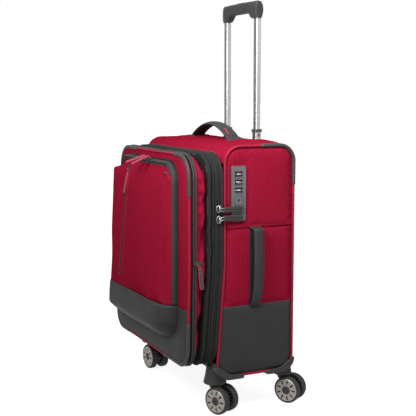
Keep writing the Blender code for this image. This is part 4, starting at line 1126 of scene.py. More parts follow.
def build_pocket():
    split = BAND_Z + 0.0010
    # red face, sewn into the flap's zip along its top and sides
    outline = np.array(pocket_outline(0.0080))
    levels = eased_levels(split - 0.001, POCKET_Z1 - 0.0080, 0.0042, 0.0, 0.034)
    t = eased(76, 0.72)
    x, z, dist, run = panel_grid(outline, levels, t)
    d = pocket_depth(z)
    # a soft shoulder on the right; on the left the cloth folds sharply over and hides the flap behind it
    soft = 0.55 * (1 - np.exp(-dist / 0.0050)) + 0.45 * smooth01(dist / 0.120) ** 0.8
    hw = POCKET_HALF_W - 0.0080
    fold = np.array(fillet_polygon([(-hw, POCKET_Z0), (0.5, POCKET_Z0), (0.5, 0.4915), (-0.010, 0.4915),
                                    (-hw, 0.4730)],
                                   [0.0, 0.0, 0.0, 0.060, 0.008], 0.0, 12))
    fold_z = np.interp(x, (-0.145, -0.010, 0.5), (0.473, 0.4915, 0.4915))
    into = edge_distance(np.stack([x, z], -1), fold)[0] * np.where(z < fold_z, 1, -1)
    wall = np.clip(into / 0.0075, 0, 1)
    firm = np.where(into > 0, 0.30 + 0.70 * (1 - (1 - wall) ** 2.2),
                    0.30 * dist / (dist + np.maximum(-into, 1e-6)))
    firm = np.where(z < 0.460, 1 - (1 - np.clip(dist / 0.0075, 0, 1)) ** 2.2, firm)
    left = smooth01((0.00 - x) / 0.09)
    depth = 0.0088 + (d + 0.0038 * smooth01((-0.090 - x) / 0.045) * smooth01((z - 0.262) / 0.08)
                      - 0.0088) * (soft + (firm - soft) * left)
    bulge = 0.0080 * smooth01((depth - 0.0130) / 0.006) * np.exp(-np.clip(dist - 0.004, 0, None) / 0.012)
    reach = np.clip((x + 0.09) / -0.05, 0, 1) * smooth01((0.480 - z) / 0.008)
    grid = np.stack([x - bulge * reach, panel_front(z) - depth, z], -1)
    pinned = np.where(dist < 0.0015, 1.0, 0.0)
    pinned = np.where((x < -0.10) & (dist < 0.010), 0.97, pinned)
    pinned = np.where(z < split + 0.003, 1.0, pinned)
    grid = settle_grid(grid, pinned, pressure=0.45, slack=0.006, cap=0.0030, frames=18, gravity=0.4,
                       bend=1.2)
    roll = 0.0005 * np.sin(run / 0.0060 * 2 * pi + 2 * np.sin(run * 90)) * bell(dist, 0.006, 0.004)
    roll = roll * smooth01((x + 0.06) / 0.04)
    cloud = 0.0006 * clouds(x, z, 16.0, 2.0)
    # the cloth is drawn up round the tack at the top right corner
    tack = np.hypot(x - 0.125, z - 0.477)
    ang = np.arctan2(z - 0.477, x - 0.125)
    star = 0.0014 * np.cos(ang * 5 + 0.6) * bell(tack, 0.0, 0.030) * smooth01(tack / 0.006)
    grid[..., 1] += roll - cloud * smooth01(dist / 0.02) + star
    back = np.stack([x, panel_front(z) - 0.0003, z], -1)
    uv = np.stack([x, z - 0.25 * np.maximum(d - 0.02, 0)], -1)
    face = slab("pocket_face_cloth", grid, back, M["red"], "front_cover", uv)
    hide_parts("pocket_body")
    SURFACES["pocket"] = surface_tree(grid)

    # charcoal foot of the pocket
    outline = np.array(pocket_outline(0.0))
    levels = eased_levels(POCKET_Z0 - 0.0025, split - 0.0004, 0.0034, 0.034, 0.0)
    x, z, dist, _ = panel_grid(outline, levels, t)
    d = pocket_depth(z)
    right = np.where(z > POCKET_Z0 + 0.048, POCKET_HALF_W - x, dist)
    q = np.clip(np.minimum(right, POCKET_HALF_W - x) / 0.026, 0, 1)
    f_right = np.where(x > 0, (1 - (1 - q) ** 2.6) ** 0.5, 1.0)
    f_left = 1 - (1 - np.clip((x + POCKET_HALF_W) / 0.0075, 0, 1)) ** 2.2
    low = np.array(outline)
    rising = low[(low[:, 1] < 0.30)]
    order = np.argsort(rising[:, 0])
    foot_z = np.interp(x, rising[order, 0], rising[order, 1])
    foot_z = np.where(z > foot_z, foot_z, z)
    q = np.clip((z - foot_z) / 0.0315, 0, 1)
    f_under = 1 - (1 - q) ** (1.25 + 0.45 * smooth01((x + 0.05) / 0.15))
    shape = 1 / (1 / np.maximum(f_right, 1e-3) ** 6 + 1 / np.maximum(f_under, 1e-3) ** 6 - 1
                 + 1e-9) ** (1 / 6)
    shape = np.minimum(shape, np.minimum(f_right, f_under)) * f_left
    far = smooth01((POCKET_HALF_W - x) / 0.055)
    depth = 0.0010 + (d - 0.0010) * shape * (0.84 + 0.16 * far)
    grid = np.stack([x, panel_front(z) - depth, z], -1)
    pinned = np.where(dist < 0.0015, 1.0, 0.0)
    pinned = np.where(z > split - 0.004, 1.0, pinned)
    grid = settle_grid(grid, pinned, pressure=0.4, slack=0.0, cap=0.0018, frames=12, bend=6.0)
    cloud = 0.0005 * clouds(x, z, 15.0, 8.0)
    laid_over = 0.0011 * smooth01((split - z) / 0.0012) * smooth01(dist / 0.006)
    grid[..., 1] -= cloud * smooth01(dist / 0.02) + laid_over
    grid[..., 1] += 0.0004 * bell(split - z, 0.0040, 0.0012)
    back = np.stack([x, panel_front(z) - 0.0003, z], -1)
    foot = slab("pocket_foot", grid, back, M["char"], "front_cover", np.stack([x, z], -1))
    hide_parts("pocket_band")
    row = int(np.argmin(abs(z[:, 0] - (split - 0.0040))))
    nrm = grid_normals(grid)[row, 6:-6]
    nrm = np.where(nrm[:, 1:2] > 0, -nrm, nrm)
    stitches(grid[row, 6:-6], nrm, "front_cover", "dark", lift=0.00025)

    # a dark cord in the crease round the pocket: painted shade under the pocket's foot and beside its flap
    low, _ = resample(pocket_outline(-0.0014, 20), 0.0030)
    path = np.stack([low[:, 0], panel_front(low[:, 1]) - 0.0012, low[:, 1]], 1)
    cord_sweep("pocket_crease_painted_shade", path, 0.0017, M["coil"], "front_cover", True, 10, (0, -1, 0))

    # flap that runs up, over and down round the face, with the zip on its inner edge
    full, _ = resample(pocket_outline(0.0, 20), 0.0030)
    n = outward(full)
    keep = open_run(full[:, 1] > split + 0.0006)
    p, n = full[keep], n[keep]
    prof = np.array([(-0.0002, 0.0002), (0.0003, 0.0030), (0.0004, 0.0070), (0.0000, 0.0098),
                     (-0.0008, 0.0114), (-0.0020, 0.0122),
                     (-0.0036, 0.0124), (-0.0048, 0.0120), (-0.0053, 0.0110), (-0.0055, 0.0096),
                     (-0.0062, 0.0092),
                     (-0.0069, 0.0096), (-0.0072, 0.0108), (-0.0080, 0.0115), (-0.0090, 0.0112),
                     (-0.0098, 0.0098),
                     (-0.0100, 0.0080), (-0.0100, 0.0002)])
    s = np.arange(len(p)) * 0.0030
    wob = np.array([noise.noise(Vector((v * 22.0, 3.3, 0))) for v in s])[:, None] * 0.0005
    off = prof[None, :, 0] + wob * (prof[None, :, 1] > 0.004)
    dep = prof[None, :, 1] + wob * 0.8 * (prof[None, :, 1] > 0.004)
    st = np.stack([p[:, :1] + n[:, :1] * off, panel_front(p[:, 1:2]) - dep, p[:, 1:2] + n[:, 1:2] * off],
                  -1)
    d = lengths(prof)
    uv = uv_grid(s, d)
    flap = loop_sweep("pocket_flap_band", st, M["char"], "front_cover", uv, False)
    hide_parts("pocket_flap")
    coil = coil_profile(-0.0062, 0.0094, 0.0008)
    st = np.stack([p[:, :1] + n[:, :1] * coil[None, :, 0], panel_front(p[:, 1:2]) - coil[None, :, 1],
                   p[:, 1:2] + n[:, 1:2] * coil[None, :, 0]], -1)
    uv = uv_grid(s, np.arange(6) * 0.0008)
    loop_sweep("zip_coil_pocket", st, M["coil"], "front_cover", uv, False)
    line = np.stack([p[:, 0] - n[:, 0] * 0.0022, panel_front(p[:, 1]) - 0.0122, p[:, 1] - n[:, 1] * 0.0022],
                    1)
    stitches(line, (0, -1.0, 0), "front_cover", "dark", 0.0038, 0.0027, 0.00026)


def face_point(x, z):
    """Point and outward normal on the pocket's face in case coordinates."""
    hit, nrm, _, _ = SURFACES["pocket"].ray_cast(Vector((x, -0.30, z)), Y)
    if hit is None:
        return Vector((x, panel_front(z) - 0.012, z)), -Y
    if nrm.y > 0:
        nrm = -nrm
    return hit, nrm


def on_face(name, line, offsets, heights, mat, taper=0.004):
    """A ribbon laid on the pocket's face along a line of (x, z) points; heights are above the cloth."""
    line = np.asarray(line, float)
    t = np.gradient(line, axis=0)
    t /= np.linalg.norm(t, axis=1)[:, None]
    across = np.stack([t[:, 1], -t[:, 0]], 1)
    run = lengths(line)
    front, back = [], []
    for i in range(len(line)):
        k = min(min(run[i], run[-1] - run[i]) / taper, 1.0) if taper else 1.0
        f, b = [], []
        for c, h in zip(offsets, heights):
            q, nrm = face_point(*(line[i] + across[i] * c))
            f.append(q + nrm * (h * (0.25 + 0.75 * k)))
            b.append(q - nrm * 0.0012)
        front.append(f)
        back.append(b)
    front, back = np.array(front), np.array(back)
    uv = uv_grid(run, np.asarray(offsets, float))
    return slab(name, front, back, mat, "front_cover", uv)


def build_face_zip():
    top, foot = np.array((-0.0610, 0.4835)), np.array((-0.0775, 0.2440))
    k = np.linspace(0, 1, 70)
    line = top + (foot - top) * k[:, None]
    on_face("face_zip_tape", line, (-0.0088, -0.0072, -0.0036, 0.0036, 0.0072, 0.0088),
            (0.0002, 0.0005, 0.0005, 0.0005, 0.0005, 0.0002),
            M["tape"])
    on_face("face_zip_coil", line, (-0.0028, -0.0016, 0.0, 0.0016, 0.0028),
            (0.0004, 0.0012, 0.0015, 0.0012, 0.0004), M["coil"],
            taper=0)
    for word, sign in (("left", -1.0), ("right", 1.0)):
        a = [sign * v for v in (0.0060, 0.0064, 0.0072, 0.0084, 0.0098, 0.0108)]
        h = (0.0006, 0.0022, 0.0027, 0.0022, 0.0012,
             -0.0004) if sign < 0 else (0.0003, 0.0006, 0.0007, 0.0006, 0.0004, -0.0004)
        if sign < 0:
            a, h = a[::-1], h[::-1]
        on_face("face_zip_lip_" + word, line, a, h, M["red"])
        t = (foot - top) / np.linalg.norm(foot - top)
        across = np.array((t[1], -t[0]))
        pts, nrm = [], []
        for q in line:
            hit, nn = face_point(*(q + across * sign * 0.0086))
            pts.append(hit + nn * (0.0019 if sign < 0 else 0.0006))
            nrm.append(nn)
        stitches(np.array(pts), np.array(nrm), "front_cover", "red", 0.0034, 0.0024, 0.00026)
    # tacks: at each end of the zip, and the one at the corner of the face
    for name, (x, z), (dx, dz) in (("tack_zip_top", top, (0.0050, 0.0010)),
                                   ("tack_zip_foot", foot, (0.0050, -0.0002)),
                                   ("tack_corner", (0.1250, 0.4770), (0.0062, 0.0009))):
        a = np.linspace(-1, 1, 9)
        line2 = np.stack([x + a * dx, z + a * dz], 1)
        on_face(name, line2, (-0.0012, -0.0007, 0.0, 0.0007, 0.0012),
                (0.0006, 0.0016, 0.0019, 0.0016, 0.0006), M["thread_dark"],
                taper=0.0012)


build_pocket()
build_face_zip()


# ------------------------------------------------------------------ top, back and bottom
def frame_height(x, top):
    """Height of the front frame's outline above or below a place across the case."""
    x = abs(x)
    r = RING_R_TOP if top else RING_R_BOTTOM
    flat = HALF_W - r
    rise = r - sqrt(max(r * r - (x - flat) ** 2, 0.0)) if x > flat else 0.0
    return RING_Z1 - rise if top else RING_Z0 + rise


def wrap_path(x, top, thick, rear_y, arc=16, flat=30):
    """A cloth's run from the front frame round the case's edge and along its top or bottom, as (y, z)."""
    level = CASE_TOP if top else CASE_BOTTOM
    r = R_TOP if top else R_BOTTOM
    sign = -1.0 if top else 1.0
    end = frame_height(x, top) + sign * 0.004
    end = min(end, CASE_TOP - 0.010) if top else max(end, CASE_BOTTOM + 0.010)
    drop = min(r, abs(level - end))
    centre = float(FRONT_Y - swell(level + sign * r, LEAN) + r)
    out = []
    for k in range(arc + 1):
        a = pi / 2 * k / arc
        out.append((centre - (r - thick) * cos(a), level + sign * (drop - (drop - thick) * sin(a))))
    for k in range(1, flat + 1):
        out.append((centre + (rear_y - centre) * k / flat, level + sign * thick))
    return np.array(out)


def across(count):
    """Places across the case, closer together near its sides."""
    return -CLOTH_HALF_W + 2 * CLOTH_HALF_W * eased(count, 0.5)


def run_lengths(grid):
    d = np.linalg.norm(np.diff(grid, axis=1), axis=-1)
    return np.concatenate([np.zeros((len(grid), 1)), np.cumsum(d, 1)], 1)


def crown(x, y):
    """How far the padded top stands above the piping: fullest behind the handle, low at the housing."""
    x, y = np.asarray(x, float), np.asarray(y, float)
    mid = np.interp(y, (-0.055, -0.030, 0.007, 0.036, 0.045, 0.056, TOP_REAR_Y),
                    (0.0, 0.25, 0.66, 1.0, 1.0, 0.70, 0.10))
    edge = np.interp(y, (-0.055, -0.030, 0.007, 0.036, 0.048, 0.067, 0.078, 0.090),
                     (0.0, 0.25, 0.66, 1.0, 1.0, 0.55, 0.2, 0.0))
    k = smooth01((abs(x) - 0.100) / 0.030)
    return 0.0098 * (1 - np.clip(abs(x) / CLOTH_HALF_W, 0, 1) ** 8) * (mid + (edge - mid) * k)


def top_point(x, y):
    """Point on the top cloth in case coordinates."""
    return SURFACES["top"].ray_cast(Vector((x, y, 0.7)), -Z)[0] or Vector((x, y, CASE_TOP))


def build_top():
    xs = across(76)
    outer = np.array([[(x, y, z) for y, z in wrap_path(x, True, 0.0, TOP_REAR_Y)] for x in xs])
    inner = np.array([[(x, y, z) for y, z in wrap_path(x, True, PADDING, TOP_REAR_Y)] for x in xs])
    x, y = outer[..., 0], outer[..., 1]
    side = CLOTH_HALF_W - abs(x)
    run = run_lengths(outer)
    rise = crown(x, y) - 0.0016 * (1 - smooth01(side / 0.007))
    grid = outer.copy()
    grid[..., 2] += rise
    foot = abs(abs(x - HANDLE_X) - HANDLE_SPAN)
    anchor = (foot < 0.0075) & (abs(y - HANDLE_Y) < 0.0160)
    grid[..., 2] -= 0.0016 * np.exp(-(foot / 0.015) ** 2 - ((y - HANDLE_Y) / 0.021) ** 2)
    pinned = np.where((side < SEWN) | (run < SEWN) | (y > 0.0640) | anchor, 1.0, 0.0)
    grid = settle_grid(grid, pinned, pressure=0.55, slack=0.022, cap=0.0036, frames=20, bend=0.35)
    # pulled folds that run from anchor to anchor, and the dimpled seam beside the piping
    u = abs(x - HANDLE_X) / (HANDLE_SPAN + 0.004)
    pull = bell(y, HANDLE_Y, 0.030) * np.clip(1 - u, 0, 1) ** 0.3
    folds = 0.0008 * np.sin((y - HANDLE_Y) / 0.0125 * 2 * pi + 0.9 * np.sin(x * 60)) * pull
    dimple = -0.0008 * bell(side, 0.0045, 0.0014)
    cloud = 0.0005 * clouds(x, y, 20.0, 6.0)
    grid[..., 2] += (folds + cloud * smooth01(side / 0.02) + dimple) * smooth01(run / 0.006)
    SURFACES["top"] = surface_tree(grid)
    top = slab("cloth_top", grid, inner, M["red"], "case", np.stack([x, run], -1))
    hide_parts("top_panel")
    row = int(np.argmin(abs(run[len(xs) // 2] - 0.0052)))
    path = grid[4:-4, row]
    nrm = grid_normals(grid)[4:-4, row]
    nrm = np.where(nrm[:, 2:3] < 0, -nrm, nrm)
    stitches(path, nrm, "case", "red", 0.0040, 0.0028, 0.00028)


def back_path(thick):
    """The back cloths' run from the top's rear edge down to the bottom, as (y, z)."""
    out = [(0.0671, CASE_TOP - thick)]
    r = R_TOP
    for k in range(15):
        a = pi / 2 - pi / 2 * k / 14
        out.append((BACK_Y - r + (r - thick) * cos(a), CASE_TOP - r + (r - thick) * sin(a)))
    for z in np.linspace(CASE_TOP - R_TOP, CASE_BOTTOM + R_BOTTOM, 92)[1:-1]:
        out.append((BACK_Y - thick, float(z)))
    r = R_BOTTOM
    for k in range(13):
        a = -pi / 2 * k / 12
        out.append((BACK_Y - r + (r - thick) * cos(a), CASE_BOTTOM + r + (r - thick) * sin(a)))
    out.append((0.0724, CASE_BOTTOM + thick))
    return np.array(out)


def build_back():
    outer, inner = back_path(0.0), back_path(PADDING)
    xs = across(60)
    for name, keep, mat, slot in (("cloth_back", outer[:, 1] > BAND_Z - 0.0025, M["red"], "red_fabric"),
                                  ("foot_back", outer[:, 1] < BAND_Z + 0.0022, M["char"], "charcoal_trim")):
        idx = np.nonzero(keep)[0]
        o, i = outer[idx], inner[idx]
        red = name == "cloth_back"
        if not red:
            o, i = o.copy(), i.copy()
            o[0, 1] = i[0, 1] = BAND_Z
        grid = np.array([[(x, y, z) for y, z in o] for x in xs])
        back = np.array([[(x, y, z) for y, z in i] for x in xs])
        t = np.gradient(o, axis=0)
        t /= np.linalg.norm(t, axis=1)[:, None]
        n = np.stack([-t[:, 1], t[:, 0]], 1)
        x, y, z = grid[..., 0], grid[..., 1], grid[..., 2]
        side = CLOTH_HALF_W - abs(x)
        run = run_lengths(grid)
        rise = 0.0018 * smooth01(side / 0.05) - 0.0016 * (1 - smooth01(side / 0.007))
        rise = np.where(z > 0.47, np.minimum(rise, 0.0006), rise)
        if not red:
            rise = rise + 0.0011 * smooth01((BAND_Z - z) / 0.001)
        rise = rise - 0.0008 * bell(side, 0.0045, 0.0014)
        rise = rise + 0.0006 * clouds(x, z, 16.0, 12.0) * smooth01(side / 0.02)
        grid[..., 1] += rise * n[None, :, 0]
        grid[..., 2] += rise * n[None, :, 1] + np.where(z > 0.515, crown(x, y)
                                                        * smooth01((abs(x) - 0.098) / 0.006), 0.0)
        pin_row = (z > 0.47) | (z < BAND_Z + 0.003) if red else (z > BAND_Z - 0.003) | (z < 0.085)
        pinned = np.where((side < SEWN) | pin_row, 1.0, 0.0)
        grid = settle_grid(grid, pinned, pressure=-0.6, slack=0.010 if red else 0.003, cap=0.0028,
                           frames=14)
        obj = slab(name, grid, back, mat, "case", np.stack([x, run], -1))
        if red:
            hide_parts("back_panel")
            cut_hole(obj, 0, 2, (-0.0961 + CX, 0.4990), (0.0961 + CX, 0.60))
        else:
            path = grid[3:-3, int(np.argmin(abs(z[0] - (BAND_Z - 0.0042))))]
            stitches(path, (0, 1.0, 0), "case", "dark", lift=0.0002)


def build_bottom():
    xs = across(48)
    outer = np.array([[(x, y, z) for y, z in wrap_path(x, False, 0.0, 0.0718, 12, 26)] for x in xs])
    inner = np.array([[(x, y, z) for y, z in wrap_path(x, False, 0.0050, 0.0718, 12, 26)] for x in xs])
    x, y = outer[..., 0], outer[..., 1]
    outer[..., 2] += 0.0004 * clouds(x, y, 18.0, 15.0) - 0.0004
    # moulded ribs run from front to back under the case
    rib = np.clip(np.cos(x / 0.048 * 2 * pi), 0, 1) ** 6
    ends = smooth01((y + 0.045) / 0.02) * smooth01((0.066 - y) / 0.02)
    outer[..., 2] -= 0.0016 * rib * ends * (abs(x) < 0.14)
    obj = slab("base_skin", outer, inner, M["char"], "case", np.stack([x, run_lengths(outer)], -1))
    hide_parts("bottom_panel")


# ------------------------------------------------------------------ linings and the lid's hinge
def build_linings():
    xs = [-0.1913, -0.1903, -0.187, -0.172, -0.155, -0.12, -0.06, 0.0, 0.06, 0.12, 0.155, 0.172, 0.187,
          0.1903, 0.1913]
    rows = []
    for x in xs:
        k = 0.0 if abs(x) < 0.191 else 0.006
        low = wrap_path(x * 0.999, False, 0.0062 + k, 0.060, 8, 6)
        top = wrap_path(x * 0.999, True, 0.0062 + k, 0.050, 8, 6)
        turn = [(0.0700 - k, 0.0840 + k), (0.0762 - k, 0.0960 + k), (0.0765 - k, 0.30), (0.0762 - k, 0.470),
                (0.0700 - k, 0.492),
                (0.0640 - k, 0.505), (0.0600 - k, 0.520 - k)]
        rows.append([(x, y, z) for y, z in low] + [(x, y, z) for y, z in turn]
                    + [(x, y, z) for y, z in top[::-1]])
    g = np.array(rows)
    m, n = g.shape[:2]
    faces = sheet_faces(m, n) + [tuple(range(n)), tuple((m - 1) * n + c for c in reversed(range(n)))]
    verts = g.reshape(-1, 3)
    uv = np.stack([verts[:, 0] + 0.3 * verts[:, 1], verts[:, 2] + 0.5 * verts[:, 1]], 1)
    tub = build("lining_case", verts, faces, M["lining"], uv, "case", False, True)
    mod = tub.modifiers.new("cloth_thickness", "SOLIDIFY")
    mod.thickness = 0.0007
    mod.offset = 0.0
    baked(tub)
    # partition at the front of the lid, with a bound edge
    outline = rounded_box(HALF_W, RING_Z0, RING_Z1, RING_R_BOTTOM, RING_R_TOP, 0.0048, 20)
    levels = eased_levels(RING_Z0 + 0.0048, RING_Z1 - 0.0048, 0.010, 0.032, 0.040)
    x, z, dist, _ = panel_grid(outline, levels, eased(40, 1.0))
    cloud = 0.0010 * clouds(x, z, 14.0, 2.0)
    y = GUSSET_Y - swell(z, LEAN) + 0.0022 + cloud * smooth01(dist / 0.03)
    grid = np.stack([x, y, z], -1)
    back = np.stack([x, GUSSET_Y - swell(z, LEAN) + 0.0006, z], -1)
    obj = slab("lining_lid", grid, back, M["lining"], "lid", np.stack([x, z], -1))
    ring, _ = resample(outline, 0.004)
    path = np.stack([ring[:, 0], GUSSET_Y - swell(ring[:, 1], LEAN) + 0.0030, ring[:, 1]], 1)
    cord_sweep("lining_binding_lid", path, 0.0016, M["pipe_char"], "lid", True, 8, (0, 1, 0))
    # cloth hinge down the left side, between the case's zip tape and the lid's
    zs = np.linspace(0.150, 0.470, 44)
    prof = np.array([(-0.0030, -0.0560), (-0.0006, -0.0590), (0.0012, -0.0630), (0.0018, -0.0670),
                     (0.0012, -0.0710),
                     (-0.0006, -0.0750), (-0.0030, -0.0780)])
    front = np.array([[(-HALF_W - n, y - float(swell(z, LEAN)), z) for n, y in prof] for z in zs])
    back = front + np.array((0.0010, 0, 0))
    uv = uv_grid(zs, np.linspace(0, 0.024, len(prof)))
    obj = slab("hinge_cloth", front, back, M["char_cloth"], "", uv)
    rounded_off(obj)
    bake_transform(obj)


# ------------------------------------------------------------------ strap handles
def padded_strap(name, path, normals, wide, half_w, thick_of, mat, body, node_name, flange=0.0030):
    """A strap with a padded middle and thin sewn edges, along a path; wide is the direction across it."""
    wide = np.asarray(wide, float)
    cols = np.array([-1, -0.97, -0.88, -0.80, -0.74, -0.64, -0.45, -0.2, 0.0, 0.2, 0.45, 0.64, 0.74, 0.80,
                     0.88, 0.97, 1])
    front, back = [], []
    m = len(path)
    for i in range(m):
        t = i / (m - 1)
        h = thick_of(t)
        w = half_w(t)
        edge = 1 - flange / w
        f, b = [], []
        for c in cols:
            core = max(1 - (abs(c) / edge) ** 3.0, 0.0) ** 0.5 if abs(c) < edge else 0.0
            tip = 0.35 if abs(c) > 0.98 else 1.0
            up = 0.0011 * tip + max(h - 0.0011, 0.0) * core
            down = 0.0011 * tip + max(h - 0.0011, 0.0) * 0.65 * core
            f.append(path[i] + wide * c * w + normals[i] * up)
            b.append(path[i] + wide * c * w - normals[i] * down)
        front.append(f)
        back.append(b)
    front, back = np.array(front), np.array(back)
    run = lengths(path)
    uv = uv_grid(run, cols * half_w(0.5))
    obj = slab(name, front, back, mat, body, uv)
    rounded_off(obj)
    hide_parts(node_name)
    for c in (2, len(cols) - 3):
        stitches(front[:, c], normals, body, "dark", 0.0036, 0.0026, 0.00028)
    return front


def build_handles():
    u = np.linspace(-1, 1, 81)
    x = HANDLE_X + HANDLE_SPAN * u
    ends = [top_point(HANDLE_X + HANDLE_SPAN * k, HANDLE_Y).z - 0.0006 for k in (-1, 1)]
    base = ends[0] + (ends[1] - ends[0]) * (u + 1) / 2
    z = base + (0.5668 - base) * (1.0 - abs(u) ** 1.9) ** 0.90
    path, _ = resample(np.stack([x, z], 1), count=76, closed=False)
    t = np.gradient(path, axis=0)
    t /= np.linalg.norm(t, axis=1)[:, None]
    n = np.stack([-t[:, 1], t[:, 0] * 0, t[:, 0]], 1)
    p = np.stack([path[:, 0], np.full(len(path), HANDLE_Y), path[:, 1]], 1)
    front = padded_strap("strap_top", p, n, (0, 1, 0), lambda t: 0.0158 - 0.0010 * abs(2 * t - 1) ** 6,
                         lambda t: 0.0024 + 0.0032 * smooth01(min(t, 1 - t) / 0.16), M["char"], "case",
                         "top_handle")
    # sewn-down tabs at both ends of the top strap
    for sign in (-1.0, 1.0):
        a = np.linspace(-0.0050, 0.0110, 12)
        xs = HANDLE_X + sign * (HANDLE_SPAN + a)
        ys = np.linspace(HANDLE_Y - 0.0152, HANDLE_Y + 0.0152, 14)
        edge = edge_margin(a, ys)
        h = 0.0020 - 0.0010 * (1 - smooth01(edge / 0.0014)) - 0.0004 * bell(edge, 0.0028, 0.0008)
        low = np.array([[top_point(v, w).z for w in ys] for v in xs])
        g = np.stack(np.broadcast_arrays(xs[:, None], ys[None, :], low + h), -1)
        b = np.stack(np.broadcast_arrays(xs[:, None], ys[None, :], low - 0.0022), -1)
        slab("strap_top_tab_" + ("left" if sign < 0 else "right"), g, b, M["char"], "case",
             uv_grid(xs, ys))
    # a short red cord let into the strap near its right end
    seg = front[63:72, 6] + n[63:72] * 0.0003
    cord_sweep("strap_top_accent", seg, 0.0012, M["thread_red"], "case", False, 8, (0, 1, 0))

    t = np.linspace(0, 1, 161)
    x = 0.2020 + 0.0204 * np.where(t < 0.5, (1 - np.clip(1 - t / 0.030, 0, 1) ** 2.4)
                                   * (0.90 + 0.10 * smooth01(t / 0.4)),
                                   (1 - np.clip((t - 0.42) / 0.58, 0, 1) ** 2.6) ** 0.62)
    z = 0.3716 - 0.1560 * t
    path, _ = resample(np.stack([x, z], 1), count=90, closed=False)
    tt = np.gradient(path, axis=0)
    tt /= np.linalg.norm(tt, axis=1)[:, None]
    n = np.stack([-tt[:, 1], tt[:, 0] * 0, tt[:, 0]], 1)
    p = np.stack([path[:, 0], np.full(len(path), 0.01175), path[:, 1]], 1)
    padded_strap("strap_side", p, n, (0, 1, 0), lambda t: 0.01085,
                 lambda t: 0.0018 + 0.0022 * smooth01(min(t, 1 - t) / 0.14),
                 M["char"], "case", "side_handle", flange=0.0022)

    # a dark patch on the panel behind the side handle: painted shadow for the gap under the strap
    ys, zs = np.linspace(0.0008, 0.0232, 12), np.linspace(BAND_Z - 0.0030, SEAM[0][1] - 0.0010, 60)
    face = BVHTree.FromObject(bpy.data.objects["cloth_side_right"], bpy.context.evaluated_depsgraph_get())
    hit = np.array([[(face.ray_cast(Vector((0.3, y + CY, max(z, BAND_Z + 0.001))), Vector((-1, 0, 0)))[0]
                      or Vector((0.2 + CX, 0, 0))).x - CX
                     for z in zs] for y in ys])
    edge = edge_margin(ys, zs)
    lift = np.maximum(hit, 0.1990) + 0.0004 + 0.0010 * (1 - np.exp(-edge / 0.0012))
    g = side_patch(lift, ys, zs)
    b = side_patch(lift - 0.0022, ys, zs)
    slab("strap_side_painted_shadow", g, b, M["tape"], "case", uv_grid(ys, zs))


build_top()
build_back()
build_bottom()
build_linings()
build_handles()


# ------------------------------------------------------------------ lock
def seven_segments(digit, width, height, stroke):
    """Strokes of a plain number as rectangles (a0, b0, a1, b1), with its middle at the origin."""
    w, h, s = width / 2, height / 2, stroke / 2
    bars = {"a": (-w, h - 2 * s, w, h), "g": (-w, -s, w, s), "d": (-w, -h, w, -h + 2 * s),
            "f": (-w, 0, -w + 2 * s, h), "b": (w - 2 * s, 0, w, h), "e": (-w, -h, -w + 2 * s, 0),
            "c": (w - 2 * s, -h, w, 0)}
    on = ("abcdef", "bc", "abged", "abgcd", "fgbc", "afgcd", "afgedc", "abc", "abcdefg", "abcdfg")[digit]
    return [bars[k] for k in on]


def boxes(name, items, mat, body, bevel=0.0):
    """Small blocks in one mesh; an item is (corner points of its face, thickness vector)."""
    verts, faces = [], []
    for quad, depth in items:
        base = len(verts)
        verts += [Vector(q) for q in quad] + [Vector(q) + Vector(depth) for q in quad]
        faces += [(base, base + 1, base + 2, base + 3), (base + 7, base + 6, base + 5, base + 4)]
        faces += [(base + k, base + 4 + k, base + 4 + (k + 1) % 4, base + (k + 1) % 4) for k in range(4)]
    v = np.array([tuple(p) for p in verts])
    obj = build(name, v, faces, mat, v[:, [1, 2]], body, False, True)
    if bevel:
        mod = obj.modifiers.new("edge", "BEVEL")
        mod.width = bevel
        mod.segments = 2
        baked(obj)
        obj.data.polygons.foreach_set("use_smooth", [True] * len(obj.data.polygons))
    return obj


def lathed(name, profile, mat, body, centre, axes, sides=40, inner=False):
    """Turns a closed (r, h) profile about a centre; axes are (r direction 0, r direction 90, axis)."""
    e0, e1, e2 = (Vector(a) for a in axes)
    c = Vector(centre)
    st = []
    for k in range(sides):
        a = 2 * pi * k / sides
        d = e0 * cos(a) + e1 * sin(a)
        st.append([tuple(c + d * max(r, 1e-5) + e2 * h) for r, h in profile])
    prof = np.asarray(profile, float)
    d = lengths(prof)
    ang = np.arange(sides) * 2 * pi / sides * 0.02
    uv = uv_grid(ang, d)
    obj = loop_sweep(name, np.array(st), mat, body, uv, True)
    if not inner:
        bm = bmesh.new()
        bm.from_mesh(obj.data)
        bmesh.ops.remove_doubles(bm, verts=bm.verts, dist=3e-5)
        bmesh.ops.recalc_face_normals(bm, faces=bm.faces)
        bm.to_mesh(obj.data)
        bm.free()
    return obj


DIAL_X, DIAL_Y, DIAL_R = 0.1990, -0.025, 0.0065
DIAL_Z = (0.4770, 0.4615, 0.4460)
BUTTON_Z = 0.4265
PULL_Z = (0.4095, 0.3930)


def frame_bar(name, y0, z0, y1, z1, width, x0, x1, mat, body):
    """A raised rounded frame on the lock's face."""
    mid = ((y0 + y1) / 2, (z0 + z1) / 2)
    out = rounded_rect(mid, (y1 - y0) / 2, (z1 - z0) / 2, 0.0022)
    pts, s = resample(out, count=64)
    n = outward(pts)
    prof = ((0.0, x0), (0.0, x1 - 0.0003), (-0.0003, x1), (-width + 0.0003, x1), (-width, x1 - 0.0003),
            (-width, x0))
    st = np.array([[(x, p[0] + q[0] * off, p[1] + q[1] * off) for off, x in prof] for p, q in zip(pts, n)])
    uv = np.stack(np.broadcast_arrays(s[:, None], np.arange(6)[None, :] * 0.0005), -1)
    return loop_sweep(name, st, mat, body, uv, True)


def rounded_rect(mid, half_a, half_b, radius):
    a, b = mid
    pts = [(a - half_a, b - half_b), (a + half_a, b - half_b), (a + half_a, b + half_b),
           (a - half_a, b + half_b)]
    return fillet_polygon(pts, [radius] * 4, 0.0, 6)


